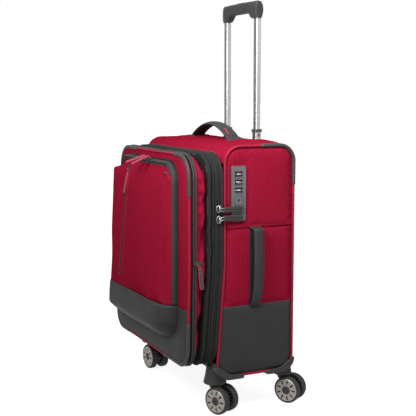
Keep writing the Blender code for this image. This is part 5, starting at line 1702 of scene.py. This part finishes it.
def build_lock():
    frame_bar("lock_rim", -0.0398, 0.3854, -0.0092, 0.4926, 0.0013, 0.2010, 0.2051, M["lock"], "case")
    marks = []
    for z in DIAL_Z:
        # black frames round the dial holes: painted shade that darkens the dial windows
        frame_bar("lock_window_%d" % round(z * 1e4), DIAL_Y - 0.0089, z - 0.0047, DIAL_Y + 0.0089,
                  z + 0.0047, 0.0017, 0.2040, 0.2049,
                  M["painted_shade_black"], "case")
        for y in (DIAL_Y - 0.0080, DIAL_Y + 0.0080):
            marks.append((rect(0, 0.2051, y - 0.0006, z - 0.0004, y + 0.0006, z + 0.0004), (-0.0006, 0, 0)))
    boxes("lock_marks", marks, M["digit"], "case")
    for k, z in enumerate(DIAL_Z):
        body = "lock_dial_%d" % (k + 1)
        items, ribs = [], []
        for d in range(10):
            a0 = 2 * pi * d / 10
            for u0, v0, u1, v1 in seven_segments((d + 3 * k + 2) % 10, 0.0018, 0.0028, 0.00042):
                quad = []
                for u, v in ((u0, v0), (u1, v0), (u1, v1), (u0, v1)):
                    a = a0 + u / DIAL_R
                    quad.append((DIAL_X + (DIAL_R + 0.00012) * cos(a), DIAL_Y + (DIAL_R + 0.00012) * sin(a),
                                 z + v))
                items.append((quad, Vector((-cos(a0), -sin(a0), 0)) * 0.0004))
            a = a0 + pi / 10
            c, s = cos(a), sin(a)
            p = Vector((DIAL_X + (DIAL_R - 0.0002) * c, DIAL_Y + (DIAL_R - 0.0002) * s, z))
            t = Vector((-s, c, 0)) * 0.00035
            o = Vector((c, s, 0)) * 0.00055
            ribs.append(((p - t - Z * 0.0016, p + t - Z * 0.0016, p + t + Z * 0.0016, p - t + Z * 0.0016),
                         o))
        boxes("dial_numbers_%d" % (k + 1), items, M["digit"], body)
        boxes("dial_ribs_%d" % (k + 1), ribs, M["plastic"], body)
    # key hole with its metal ring, and the guide lines of the plug sockets
    lathed("lock_key_ring", [(0.0014, 0.2051), (0.0014, 0.2056), (0.0024, 0.2056), (0.0026, 0.2051)],
           M["dark_metal"], "lock_button",
           (0, DIAL_Y, BUTTON_Z), (Y, Z, X), 28, inner=True)
    frame_bar("lock_button_frame", DIAL_Y - 0.0092, BUTTON_Z - 0.0092, DIAL_Y + 0.0092, BUTTON_Z + 0.0092,
              0.0009, 0.2040, 0.2049,
              M["lock"], "case")
    for k, z in enumerate(PULL_Z):
        frame_bar("lock_socket_%d" % (k + 1), -0.0378, z - 0.0064, -0.0112, z + 0.0064, 0.0010, 0.2040,
                  0.2053, M["lock"], "case")


# ------------------------------------------------------------------ zip sliders and pulls
def zip_slider(name, place, along, up, body, size=1.0, bright=True):
    """A zip slider: a waisted plate with side walls and a bridge for its pull."""
    a, u = Vector(along).normalized(), Vector(up).normalized()
    c = a.cross(u)
    p = Vector(place)
    s = size
    profile = [(-0.0050, 0.0026), (-0.0042, 0.0034), (-0.0015, 0.0042), (0.0020, 0.0040), (0.0045, 0.0030),
               (0.0054, 0.0016)]
    front, back = [], []
    for t, w in profile:
        f, b = [], []
        for k, h in ((-1, 0.0002), (-0.92, 0.0013), (-0.6, 0.0017), (0.0, 0.0019), (0.6, 0.0017),
                     (0.92, 0.0013), (1, 0.0002)):
            q = p + a * t * s + c * w * k * s
            f.append(q + u * h * s)
            b.append(q - u * 0.0006 * s)
        front.append(f)
        back.append(b)
    front, back = np.array(front), np.array(back)
    uv = np.zeros(front.shape[:2] + (2,))
    obj = slab(name + "_plate", front, back, M["dark_metal"], body, uv)
    k = np.linspace(0, pi, 15)
    arch = [p + a * (-cos(v) * 0.0042 * s) + u * (0.0014 + 0.0030 * sin(v)) * s for v in k]
    cord_sweep(name + "_bridge", [tuple(v) for v in arch], 0.00085 * s,
               M["bright_metal" if bright else "dark_metal"], body, False, 10,
               tuple(c))
    if bright:
        ring = [p + c * (cos(v) * 0.0040 * s) + a * (sin(v) * 0.0056 * s) + u * 0.0013 * s
                for v in np.linspace(0, 2 * pi, 33)[:-1]]
        cord_sweep(name + "_rim", [tuple(v) for v in ring], 0.00065 * s, M["bright_metal"], body, True, 8,
                   tuple(u))
    return obj


def tab_outline(length, half_w, r):
    return fillet_polygon([(0, -half_w), (length, -half_w), (length, half_w), (0, half_w)], [r] * 4, 0.0, 6)


def pull_tab(name, start, end, across_dir, half_w, half_t, mat, body, node_name, edge=None, inset=0.0016,
             groove=0.0):
    """A flat zip pull with rounded corners and a sunk middle; edge is its raised rim's material."""
    a = Vector(start)
    along = Vector(end) - a
    length = along.length
    along.normalize()
    w = (Vector(across_dir) - along * along.dot(Vector(across_dir))).normalized()
    u = along.cross(w)
    ring, s = resample(tab_outline(length, half_w, half_w * 0.72), 0.0012)
    n = outward(ring)
    levels = [(0.0, -half_t * 0.55), (0.0, half_t * 0.55), (-0.0004, half_t), (-inset * 0.75, half_t),
              (-inset, half_t * 0.55)]
    stations = []
    for p, q in zip(ring, n):
        row = []
        for off, h in levels + [(-inset, -half_t * 0.55), (-inset * 0.75, -half_t), (-0.0004, -half_t)]:
            v = a + along * (p[0] + q[0] * off) + w * (p[1] + q[1] * off) + u * h
            row.append(tuple(v))
        stations.append(row)
    uv = np.stack(np.broadcast_arrays(s[:, None], np.arange(8)[None, :] * 0.001), -1)
    loop_sweep(name + "_rim", np.array(stations), edge or mat, body, uv, True)
    cols, rows = 13, 40
    front, back = [], []
    for i in range(rows):
        x = inset * 0.9 + (length - inset * 1.8) * (1 - cos(pi * i / (rows - 1))) / 2
        lim = half_w - inset * 0.9
        r = half_w * 0.72
        for_end = min(x, length - x)
        if for_end < r:
            lim = min(lim, half_w - r + sqrt(max(r * r - (r - for_end) ** 2, 0)) - inset * 0.9)
        lim = max(lim, 0.0006)
        f, b = [], []
        for j in range(cols):
            y = lim * (-1 + 2 * j / (cols - 1))
            h = half_t * 0.62
            if groove:
                h += half_t * 0.55 * (abs(abs(y) / lim - 0.52) < 0.28) - groove * (abs(y) < lim * 0.14)
            if 0.0026 < x < 0.0080 and not groove:
                h -= 0.0007 * (abs(y) < lim * 0.55)
            q = a + along * x + w * y
            f.append(tuple(q + u * h))
            b.append(tuple(q - u * half_t * 0.62))
        front.append(f)
        back.append(b)
    front, back = np.array(front), np.array(back)
    uv = np.stack([np.linspace(0, length, rows)[:, None] * np.ones(cols),
                   np.ones((rows, 1)) * np.linspace(-half_w, half_w, cols)], -1)
    obj = slab(name, front, back, mat, body, uv)
    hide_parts(node_name)
    return obj


def cord_loop(name, start, end, across_dir, half_w, radius, mat, body):
    """A thin moulded loop from a slider's bridge into a pull."""
    a, b = Vector(start), Vector(end)
    w = Vector(across_dir).normalized()
    along = (b - a).normalized()
    pts = [a - along * 0.0016, a + along * 0.0006 + w * half_w * 0.8, b + w * half_w, b + along * 0.0022,
           b - w * half_w,
           a + along * 0.0006 - w * half_w * 0.8]
    curve = []
    m = len(pts)
    for i in range(m):
        p0, p1, p2, p3 = pts[i - 1], pts[i], pts[(i + 1) % m], pts[(i + 2) % m]
        for t in np.linspace(0, 1, 7)[:-1]:
            curve.append(0.5 * ((2 * p1) + (p2 - p0) * t + (2 * p0 - 5 * p1 + 4 * p2 - p3) * t * t
                                + (3 * p1 - p0 - 3 * p2 + p3) * t ** 3))
    cord_sweep(name, [tuple(v) for v in curve], radius, mat, body, True, 8, tuple(along.cross(w)))


def build_pulls():
    for word, z, far in (("upper", PULL_Z[0], 1), ("lower", PULL_Z[1], -1)):
        zip_slider("slider_main_" + word, (0.2034, -0.0672, z + far * 0.0022), (0, 0, far), (1, 0, 0),
                   "case", 1.25)
        body = "main_pull_" + word
        pull_tab(body + "_body", (0.2079, -0.0600, z), (0.2079, -0.0172, z), (0, 0, 1), 0.0050, 0.0021,
                 M["plastic"], body, body,
                 M["plastic"], 0.0012, 0.0006)
        cord_loop(body + "_link", (0.2074, -0.0662, z + far * 0.0014), (0.2079, -0.0588, z), (0, 0, 1),
                  0.0026, 0.0009, M["bright_metal"],
                  body)
    # front compartment
    zip_slider("slider_compartment", (0.2006, -0.1150, 0.3060), (0, 0, 1), (1, 0, 0), "compartment_pull",
               1.0, False)
    pull_tab("compartment_pull_tab", (0.2034, -0.1060, 0.2990), (0.2030, -0.1022, 0.2575), (0, 1, 0),
             0.0044, 0.0015, M["pull_dark"],
             "compartment_pull", "compartment_pull", M["pull"], 0.0008)
    ys, zs = np.linspace(-0.1130, -0.0995, 12), np.linspace(0.2950, 0.3115, 14)
    edge = edge_margin(ys, zs)
    dent = 0.0004 * bell(edge, 0.0024, 0.0007)
    lift = 0.2002 + 0.0022 * (1 - np.exp(-edge / 0.0010)) - dent
    g = side_patch(lift, ys, zs)
    b = side_patch(0.1990, ys, zs)
    slab("zip_garage_compartment", g, b, M["char"], "front_cover", uv_grid(ys, zs))
    cord_loop("compartment_pull_cord", (0.2032, -0.1120, 0.3060), (0.2034, -0.1062, 0.2990), (0, 1, 0),
              0.0020, 0.0009, M["pull"],
              "compartment_pull")
    # pocket top
    for word, x, tip in (("left", 0.0160, 0.0060), ("right", 0.0340, 0.0440)):
        body = "pocket_pull_" + word
        sign = -1.0 if word == "left" else 1.0
        zip_slider("slider_" + body, (x, -0.1392, 0.4990), (sign, 0, 0), (0, -0.6, 0.8), body, 0.95, False)
        a = Vector((x, -0.1448, 0.5050))
        b = Vector((tip, -0.1820, 0.4915))
        pull_tab(body + "_tab", tuple(a), tuple(b), (1, 0, 0), 0.0040, 0.0014, M["pull_dark"], body, body,
                 M["pull"], 0.0007)
        cord_loop(body + "_cord", (x, -0.1398, 0.5025), tuple(a), (1, 0, 0), 0.0018, 0.0008, M["pull"],
                  body)
    # upright zip on the pocket's face
    spot, nrm = face_point(-0.0622, 0.4690)
    zip_slider("slider_face", tuple(spot + nrm * 0.0018), (0.065, 0, 1.0), tuple(nrm), "face_pull", 0.9,
               False)
    hang, nrm2 = face_point(-0.0662, 0.4200)
    a = spot + nrm * 0.0050 + Vector((-0.0008, 0, -0.0070))
    pull_tab("face_pull_tab", tuple(a), tuple(hang + nrm2 * 0.0046), (1, 0, 0), 0.0040, 0.0014,
             M["pull_dark"], "face_pull", "face_pull",
             M["pull"], 0.0007)
    cord_loop("face_pull_cord", tuple(spot + nrm * 0.0042), tuple(a), (1, 0, 0), 0.0018, 0.0008, M["pull"],
              "face_pull")


# ------------------------------------------------------------------ trolley handle
TUBE_X, TUBE_Y = 0.0682, 0.088


def build_trolley():
    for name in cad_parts:
        if "_tube_" in name:
            paint(name, M["alu"])
    for side, word in ((1.0, "right"), (-1.0, "left")):
        x = side * TUBE_X
        # drawn ribs along the tubes
        for stage, body, w, d, z0, z1 in (("inner", "grip_stage", 0.0070, 0.0055, 0.507, 0.7840),
                                          ("middle", "middle_stage", 0.0085, 0.0070, 0.264, 0.5500)):
            items = []
            for off in (-0.0026, 0.0, 0.0026):
                for sign in (-1.0, 1.0):
                    y = TUBE_Y + sign * (d - 0.0003)
                    items.append((rect(1, y, x + off - 0.00035, z0, x + off + 0.00035, z1),
                                  (0, sign * 0.00045, 0)))
                    mid = TUBE_Y + off * 0.8
                    items.append((rect(0, x + sign * (w - 0.0003), mid - 0.00035, z0, mid + 0.00035, z1),
                                  (sign * 0.00045, 0, 0)))
            boxes("%s_tube_ribs_%s" % (stage, word), items, M["alu"], body)
        # darker strips over the tubes' front and back faces: painted shade where those faces turn away from
        # the light
        for stage, body, w, d, z0, z1 in (("inner", "grip_stage", 0.0050, 0.0055, 0.507, 0.7845),
                                          ("middle", "middle_stage", 0.0062, 0.0070, 0.264, 0.5500)):
            items = []
            for sign in (-1.0, 1.0):
                y = TUBE_Y + sign * (d - 0.0003)
                items.append((rect(1, y, x - w, z0, x + w, z1), (0, sign * 0.00042, 0)))
            boxes("%s_tube_painted_shade_%s" % (stage, word), items, M["alu_painted_shade"], body)
        for k, z in enumerate((0.7680, 0.7758)):
            lathed("tube_rivet_%s_%d" % (word, k), [(0.0, 0.00022), (0.0010, 0.00020), (0.0017, 0.00014),
                                                    (0.0019, -0.0004), (0.0, -0.0004)],
                   M["bright_metal"], "grip_stage", (x, TUBE_Y - 0.0055, z), (X, Z, -Y), 20)
        # each lock hole is a shallow disc in near-black: painted shade standing in for the hole's depth
        for sign in (-1.0, 1.0):
            lathed("tube_lock_hole_%s_%s" % (word, "in" if sign * side < 0 else "out"),
                   [(0.0, 0.00010), (0.0019, 0.00010), (0.0021, 0.00022), (0.0028, 0.00020),
                    (0.0030, -0.0004), (0.0, -0.0004)],
                   M["painted_shade_black"], "middle_stage", (x + sign * 0.0085, TUBE_Y, 0.5440), (Y, Z, X * sign), 24)
        # raised lip where the middle tube leaves the housing
        ring, s = resample(rounded_rect((x, TUBE_Y), 0.0112, 0.0098, 0.0040), count=56)
        nr = outward(ring)
        top = [CASE_TOP - R_TOP + sqrt(max(0.0358 ** 2 - max(q[1] - (BACK_Y - R_TOP), 0.0) ** 2, 0))
               for q in ring]
        prof = ((0.0, -0.0030), (0.0, -0.0002), (-0.0004, 0.0002), (-0.0014, 0.0002), (-0.0017, -0.0002),
                (-0.0017, -0.0030))
        st = np.array([[(p[0] + q[0] * o, p[1] + q[1] * o, t + h) for o, h in prof] for p, q,
                       t in zip(ring, nr, top)])
        uv = np.stack(np.broadcast_arrays(s[:, None], np.arange(6)[None, :] * 0.0005), -1)
        loop_sweep("housing_lip_" + word, st, M["plastic"], "case", uv, True)
    # trim flange round the housing, lying on the cloth
    r = 0.0366
    half = 0.0975
    arc = [(BACK_Y - R_TOP + r * cos(a), CASE_TOP - R_TOP + r * sin(a))
           for a in np.linspace(radians(3.0), pi / 2 + 0.03, 22)]
    loop = [(half, y, z) for y, z in arc] + [(-half, y, z) for y, z in reversed(arc)]
    path = resample(loop, 0.003)[0]
    cord_sweep("housing_trim", path, 0.0016, M["plastic"], "case", True, 8, (0, 0.7, 0.7))
    # finger ribs on the grip
    items = []
    for k in range(9):
        x = -0.028 + 0.007 * k
        items.append((rect(2, 0.7988, x - 0.0011, TUBE_Y - 0.0070, x + 0.0011, TUBE_Y + 0.0045),
                      (0, 0, -0.0008)))
    boxes("grip_finger_ribs", items, M["grip"], "grip_stage", 0.0003)


# ------------------------------------------------------------------ casters
# how far each caster is swivelled at rest, in degrees
CASTER_TURN = {"fr": 24.0, "rr": 33.0, "fl": 5.0, "rl": 15.0}
CASTER_X, CASTER_Y = 0.1685, {"f": -0.0576, "r": 0.0985}        # swivel axes
TRAIL, WHEEL_R, WHEEL_OFFSET = 0.018, 0.0275, 0.0140
HALF_WHEEL = 0.0065
SLOTS, SPOKES = 9, 15                # openings in a wheel's outer disc, and spokes on its inner face


def caster_axes(corner):
    """A caster's swivel axis on the floor, the direction it trails in and its wheels' axle."""
    side = 1.0 if corner[1] == "r" else -1.0
    pivot = Vector((side * CASTER_X, CASTER_Y[corner[0]], 0.0))
    a = radians(CASTER_TURN[corner])
    return pivot, Vector((cos(a), sin(a), 0)), Vector((-sin(a), cos(a), 0))


def polar_solid(name, body, hub, ex, ey, sign, radii, height, back, sides, pick, mats):
    """A turned face whose height may vary round it, measured outwards from the hub by height(r, angle)."""
    st = []
    for k in range(sides):
        a = 2 * pi * k / sides
        row = []
        for r in radii:
            row.append(hub + (ex * cos(a) + Z * sin(a)) * r + ey * sign * height(r, a))
        for r in (radii[-1], radii[0]):
            row.append(hub + (ex * cos(a) + Z * sin(a)) * r + ey * sign * back)
        st.append([tuple(v) for v in row])
    ang = np.arange(sides) * 2 * pi / sides
    rr = np.array(list(radii) + [radii[-1], radii[0]])
    uv = uv_grid(ang * 0.0246, rr)
    obj = loop_sweep(name, np.array(st), mats[0], body, uv, True)
    if pick:
        obj.data.materials.append(mats[1])
        off = Vector((CX, CY, 0))
        for p in obj.data.polygons:
            d = p.center - off - hub
            u, v = d.dot(ex), d.z
            if pick(sqrt(u * u + v * v), atan2(v, u) % (2 * pi)):
                p.material_index = 1
    return obj


def build_wheels():
    for corner in ("fr", "fl", "rr", "rl"):
        pivot, ex, ey = caster_axes(corner)
        for word, sign in (("near", -1.0), ("far", 1.0)):
            body = "wheel_%s_%s" % (corner, word)
            hub = pivot + ex * TRAIL + ey * sign * WHEEL_OFFSET + Z * WHEEL_R
            axes = (ex, Z, ey * sign)
            h = HALF_WHEEL
            tyre = [(0.0226, -h + 0.0006), (0.0240, -h), (0.0262, -h + 0.0003), (0.0272, -h + 0.0016),
                    (0.0275, -h + 0.0036), (0.02745, -0.0010),
                    (0.0272, -0.0006), (0.0272, 0.0006), (0.02745, 0.0010), (0.0275, h - 0.0036),
                    (0.0272, h - 0.0016), (0.0262, h - 0.0003),
                    (0.0250, h + 0.0002), (0.0240, h - 0.0002), (0.0236, h - 0.0014), (0.0226, h - 0.0016)]
            obj = lathed("tyre_%s_%s" % (corner, word), tyre, M["tyre"], body, hub, axes, 72,
                         inner=True)
            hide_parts(body)

            def slot_at(r, a, grow=0.0):
                k = (a / (2 * pi / SLOTS)) % 1.0
                off = min(k, 1.0 - k) * 2 * pi / SLOTS * r
                return off < 0.00135 + grow and 0.0125 - grow < r < 0.0204 + grow

            def disc_height(r, a):
                dome = h + 0.0009 - 1.6 * (r - 0.014) ** 2 * 4.0
                if r > 0.0226:
                    dome -= 0.0007
                if slot_at(r, a):
                    dome -= 0.0016
                return dome
            radii = [0.0088, 0.0092, 0.0106, 0.0118, 0.0123, 0.0126, 0.0145, 0.0172, 0.0202, 0.0205, 0.0209,
                     0.0218, 0.0225, 0.0229, 0.0234]
            # the disc's slots are shallow dips painted near-black: painted shade for the openings
            polar_solid("disc_%s_%s" % (corner, word), body, hub, ex, ey, sign, radii, disc_height, 0.0022,
                        252,
                        lambda r, a: slot_at(r, a, 0.0001), (M["disc"], M["painted_shade_black"]))
            lathed("hub_cap_%s_%s" % (corner, word),
                   [(0.0, h + 0.0019), (0.0042, h + 0.0018), (0.0076, h + 0.0013), (0.0088, h + 0.0006),
                   (0.0091, 0.0030), (0.0, 0.0030)], M["plastic"], body, hub, axes, 40)

            def inner_height(r, a):
                k = (a / (2 * pi / SPOKES)) % 1.0
                off = min(k, 1.0 - k) * 2 * pi / SPOKES * r
                if 0.0108 < r < 0.0208 and off > 0.00075:
                    return -0.0034
                return h - 0.0008
            radii = [0.0042, 0.0046, 0.0080, 0.0106, 0.0109, 0.0112, 0.0140, 0.0170, 0.0204, 0.0207, 0.0210,
                     0.0220, 0.0228]
            # the gaps between the spokes are painted near-black: painted shade
            polar_solid("spokes_%s_%s" % (corner, word), body, hub, ex, ey, -sign, radii, inner_height,
                        -0.0018, 240,
                        lambda r, a: 0.0110 < r < 0.0206
                        and min((a / (2 * pi / SPOKES)) % 1.0, 1 - (a / (2 * pi / SPOKES)) % 1.0)
                        * 2 * pi / SPOKES * r > 0.0010, (M["plastic"], M["painted_shade_black"]))


def build_guards():
    """Moulded corners: a lip along the side, a plate under the case and a flared cup over the swivel."""
    for corner in ("fr", "fl", "rr", "rl"):
        pivot = caster_axes(corner)[0]
        side = 1.0 if pivot.x > 0 else -1.0
        front = corner[0] == "f"
        outline, _ = resample(np.array(side_outline(0.0, 20)), 0.0020)
        n = outward(outline)
        low = outline[:, 1] < 0.1005
        part = low & (outline[:, 0] < -0.0075) if front else low & (outline[:, 0] > 0.0405)
        idx = open_run(part)
        p, q = outline[idx], n[idx]
        run = np.arange(len(p)) * 0.0020
        inner_end = abs(p[:, 0] - (-0.0075 if front else 0.0405))
        level = p[:, 1]
        lip = 0.0062 + 0.0060 * bell(inner_end, 0.050, 0.020) - 0.0045 * smooth01((level - 0.086) / 0.013)
        lip = np.maximum(lip, 0.0022)
        end = smooth01((inner_end + 0.001) / 0.006)
        lip = lip * (0.72 + 0.28 * end)
        stations = []
        for i in range(len(p)):
            out = 0.0042 * (0.55 + 0.45 * end[i]) * (1 - 0.35 * smooth01((level[i] - 0.088) / 0.012))
            x1 = 0.2044 - 0.0006 * (1 - end[i])
            inner_x = 0.1520 + 0.020 * (1 - end[i]) + 0.040 * smooth01((level[i] - 0.080) / 0.020)
            prof = [(inner_x, 0.0006), (inner_x, out * 0.75), (inner_x + 0.0030, out), (x1 - 0.0036, out),
                    (x1 - 0.0014, out - 0.0006),
                    (x1 - 0.0002, out - 0.0022), (x1, 0.0), (x1, -lip[i] * 0.6),
                    (x1 - 0.0003, -lip[i] + 0.0012),
                    (x1 - 0.0012, -lip[i]), (0.2004, -lip[i]), (0.2000, 0.0006)]
            stations.append([(side * x, p[i, 0] + q[i, 0] * o, p[i, 1] + q[i, 1] * o) for x, o in prof])
        uv = np.stack(np.broadcast_arrays(run[:, None], np.arange(12)[None, :] * 0.003), -1)
        obj = loop_sweep("corner_shell_" + corner, np.array(stations), M["plastic"], "case", uv, False)
        rounded_off(obj)
        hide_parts("corner_guard_" + corner)
        # conical housing over the swivel: the front ones rise beside the case, the rear ones are flat behind
        prof = [(0.0580, 0.0150), (0.0572, 0.0176), (0.0571, 0.0206), (0.0575, 0.0224), (0.0586, 0.0232),
                (0.0606, 0.0233),
                (0.0640, 0.0226), (0.0685, 0.0213), (0.0735, 0.0202), (0.0790, 0.0193), (0.0850, 0.0185),
                (0.0905, 0.0178),
                (0.0940, 0.0170), (0.0958, 0.0156), (0.0965, 0.0132)]
        if not front:
            prof = prof[:9]
        sides = 72
        st = []
        for k in range(sides):
            a = 2 * pi * k / sides
            row = []
            for z, r in prof:
                y = pivot.y + r * sin(a)
                if not front and y > 0.1060:
                    y = 0.1060 + 0.0015 * (1 - exp(-(y - 0.1060) / 0.0015))
                row.append((pivot.x + r * cos(a), y, z))
            st.append(row)
        uv = np.stack(np.broadcast_arrays((np.arange(sides) * 0.0020)[:, None],
                                          np.arange(len(prof))[None, :] * 0.003), -1)
        verts = np.array(st).reshape(-1, 3)
        k = len(prof)
        faces = []
        for i in range(sides):
            j = (i + 1) % sides
            faces += [(i * k + c, i * k + c + 1, j * k + c + 1, j * k + c) for c in range(k - 1)]
        faces.append(tuple(i * k for i in range(sides)))
        faces.append(tuple(i * k + k - 1 for i in reversed(range(sides))))
        build("caster_cup_" + corner, verts, faces, M["plastic"], uv.reshape(-1, 2), "case", True, True)
        # swivel collar and pin head on the fork
        lathed("swivel_collar_" + corner, [(0.0100, 0.0548), (0.0142, 0.0548), (0.0152, 0.0556),
                                           (0.0152, 0.0574), (0.0100, 0.0574)],
               M["dark_metal"], "fork_" + corner, (pivot.x, pivot.y, 0), (X, Y, Z), 36, inner=True)
        lathed("fork_neck_" + corner, [(0.0040, 0.0440), (0.0082, 0.0440), (0.0104, 0.0470),
                                       (0.0122, 0.0530), (0.0128, 0.0550), (0.0040, 0.0550)],
               M["plastic"], "fork_" + corner, (pivot.x, pivot.y, 0), (X, Y, Z), 36,
               inner=True)


def finish_nodes():
    """Materials for the CAD pieces that stay."""
    look = {"lock_plate": "lock", "lock_button": "lock", "handle_bezel": "plastic", "grip": "grip",
            "grip_button": "plastic",
            "collar_right": "plastic", "collar_left": "plastic", "lock_dial_1": "plastic",
            "lock_dial_2": "plastic",
            "lock_dial_3": "plastic", "fork_fr": "plastic", "fork_fl": "plastic", "fork_rr": "plastic",
            "fork_rl": "plastic"}
    for name, key in look.items():
        paint(name, M[key])


build_lock()
build_pulls()
build_trolley()
build_wheels()
build_guards()
finish_nodes()
flush_stitches()


# ------------------------------------------------------------------ floor, light and camera
def place_stage():
    mesh = bpy.data.meshes.new("floor")
    mesh.from_pydata([(-50, -50, 0), (50, -50, 0), (50, 50, 0), (-50, 50, 0)], [], [(0, 1, 2, 3)])
    floor = bpy.data.objects.new("floor", mesh)
    bpy.context.scene.collection.objects.link(floor)
    mat, _, bsdf = new_material("pale_floor")
    bsdf.inputs["Base Color"].default_value = (0.25, 0.25, 0.25, 1.0)
    bsdf.inputs["Roughness"].default_value = 0.9
    bsdf.inputs["Emission Color"].default_value = (1.0, 1.0, 1.0, 1.0)
    bsdf.inputs["Emission Strength"].default_value = 0.85
    mesh.materials.append(mat)


def area(name, place, target, size, power, spread):
    data = bpy.data.lights.new(name, "AREA")
    data.shape = "RECTANGLE"
    data.size, data.size_y = size
    data.energy = power
    data.spread = radians(spread)
    obj = bpy.data.objects.new(name, data)
    obj.location = place
    obj.rotation_euler = (Vector(target) - Vector(place)).to_track_quat("-Z", "Y").to_euler()
    obj.visible_camera = False
    bpy.context.scene.collection.objects.link(obj)


place_stage()
world = bpy.data.worlds.new("studio")
bpy.context.scene.world = world
world.use_nodes = True
world.node_tree.nodes["Background"].inputs["Color"].default_value = (1.0, 1.0, 1.0, 1.0)
world.node_tree.nodes["Background"].inputs["Strength"].default_value = 1.0
area("key", (0.60, -0.10, 1.15), (0.15, 0.05, 0.60), (0.5, 0.5), 5.6, 100)
area("front", (0.66, -0.90, 1.10), (0.20, -0.10, 0.75), (0.5, 0.5), 5.2, 60)
bpy.context.scene.view_settings.view_transform = "Standard"
bpy.context.scene.view_settings.look = "None"

AZ, EL = radians(64.522), radians(7.2647)
cam = bpy.data.cameras.new("photo_view")
cam.sensor_width = 36.0
cam.lens = 77.52
cam.clip_end = 60.0
view = bpy.data.objects.new("photo_view", cam)
back_axis = Vector((sin(AZ) * cos(EL), -cos(AZ) * cos(EL), sin(EL)))
view.location = at(1.72740, -0.81592, 0.62999)
view.rotation_euler = back_axis.to_track_quat("Z", "Y").to_euler()
bpy.context.scene.collection.objects.link(view)
bpy.context.scene.camera = view
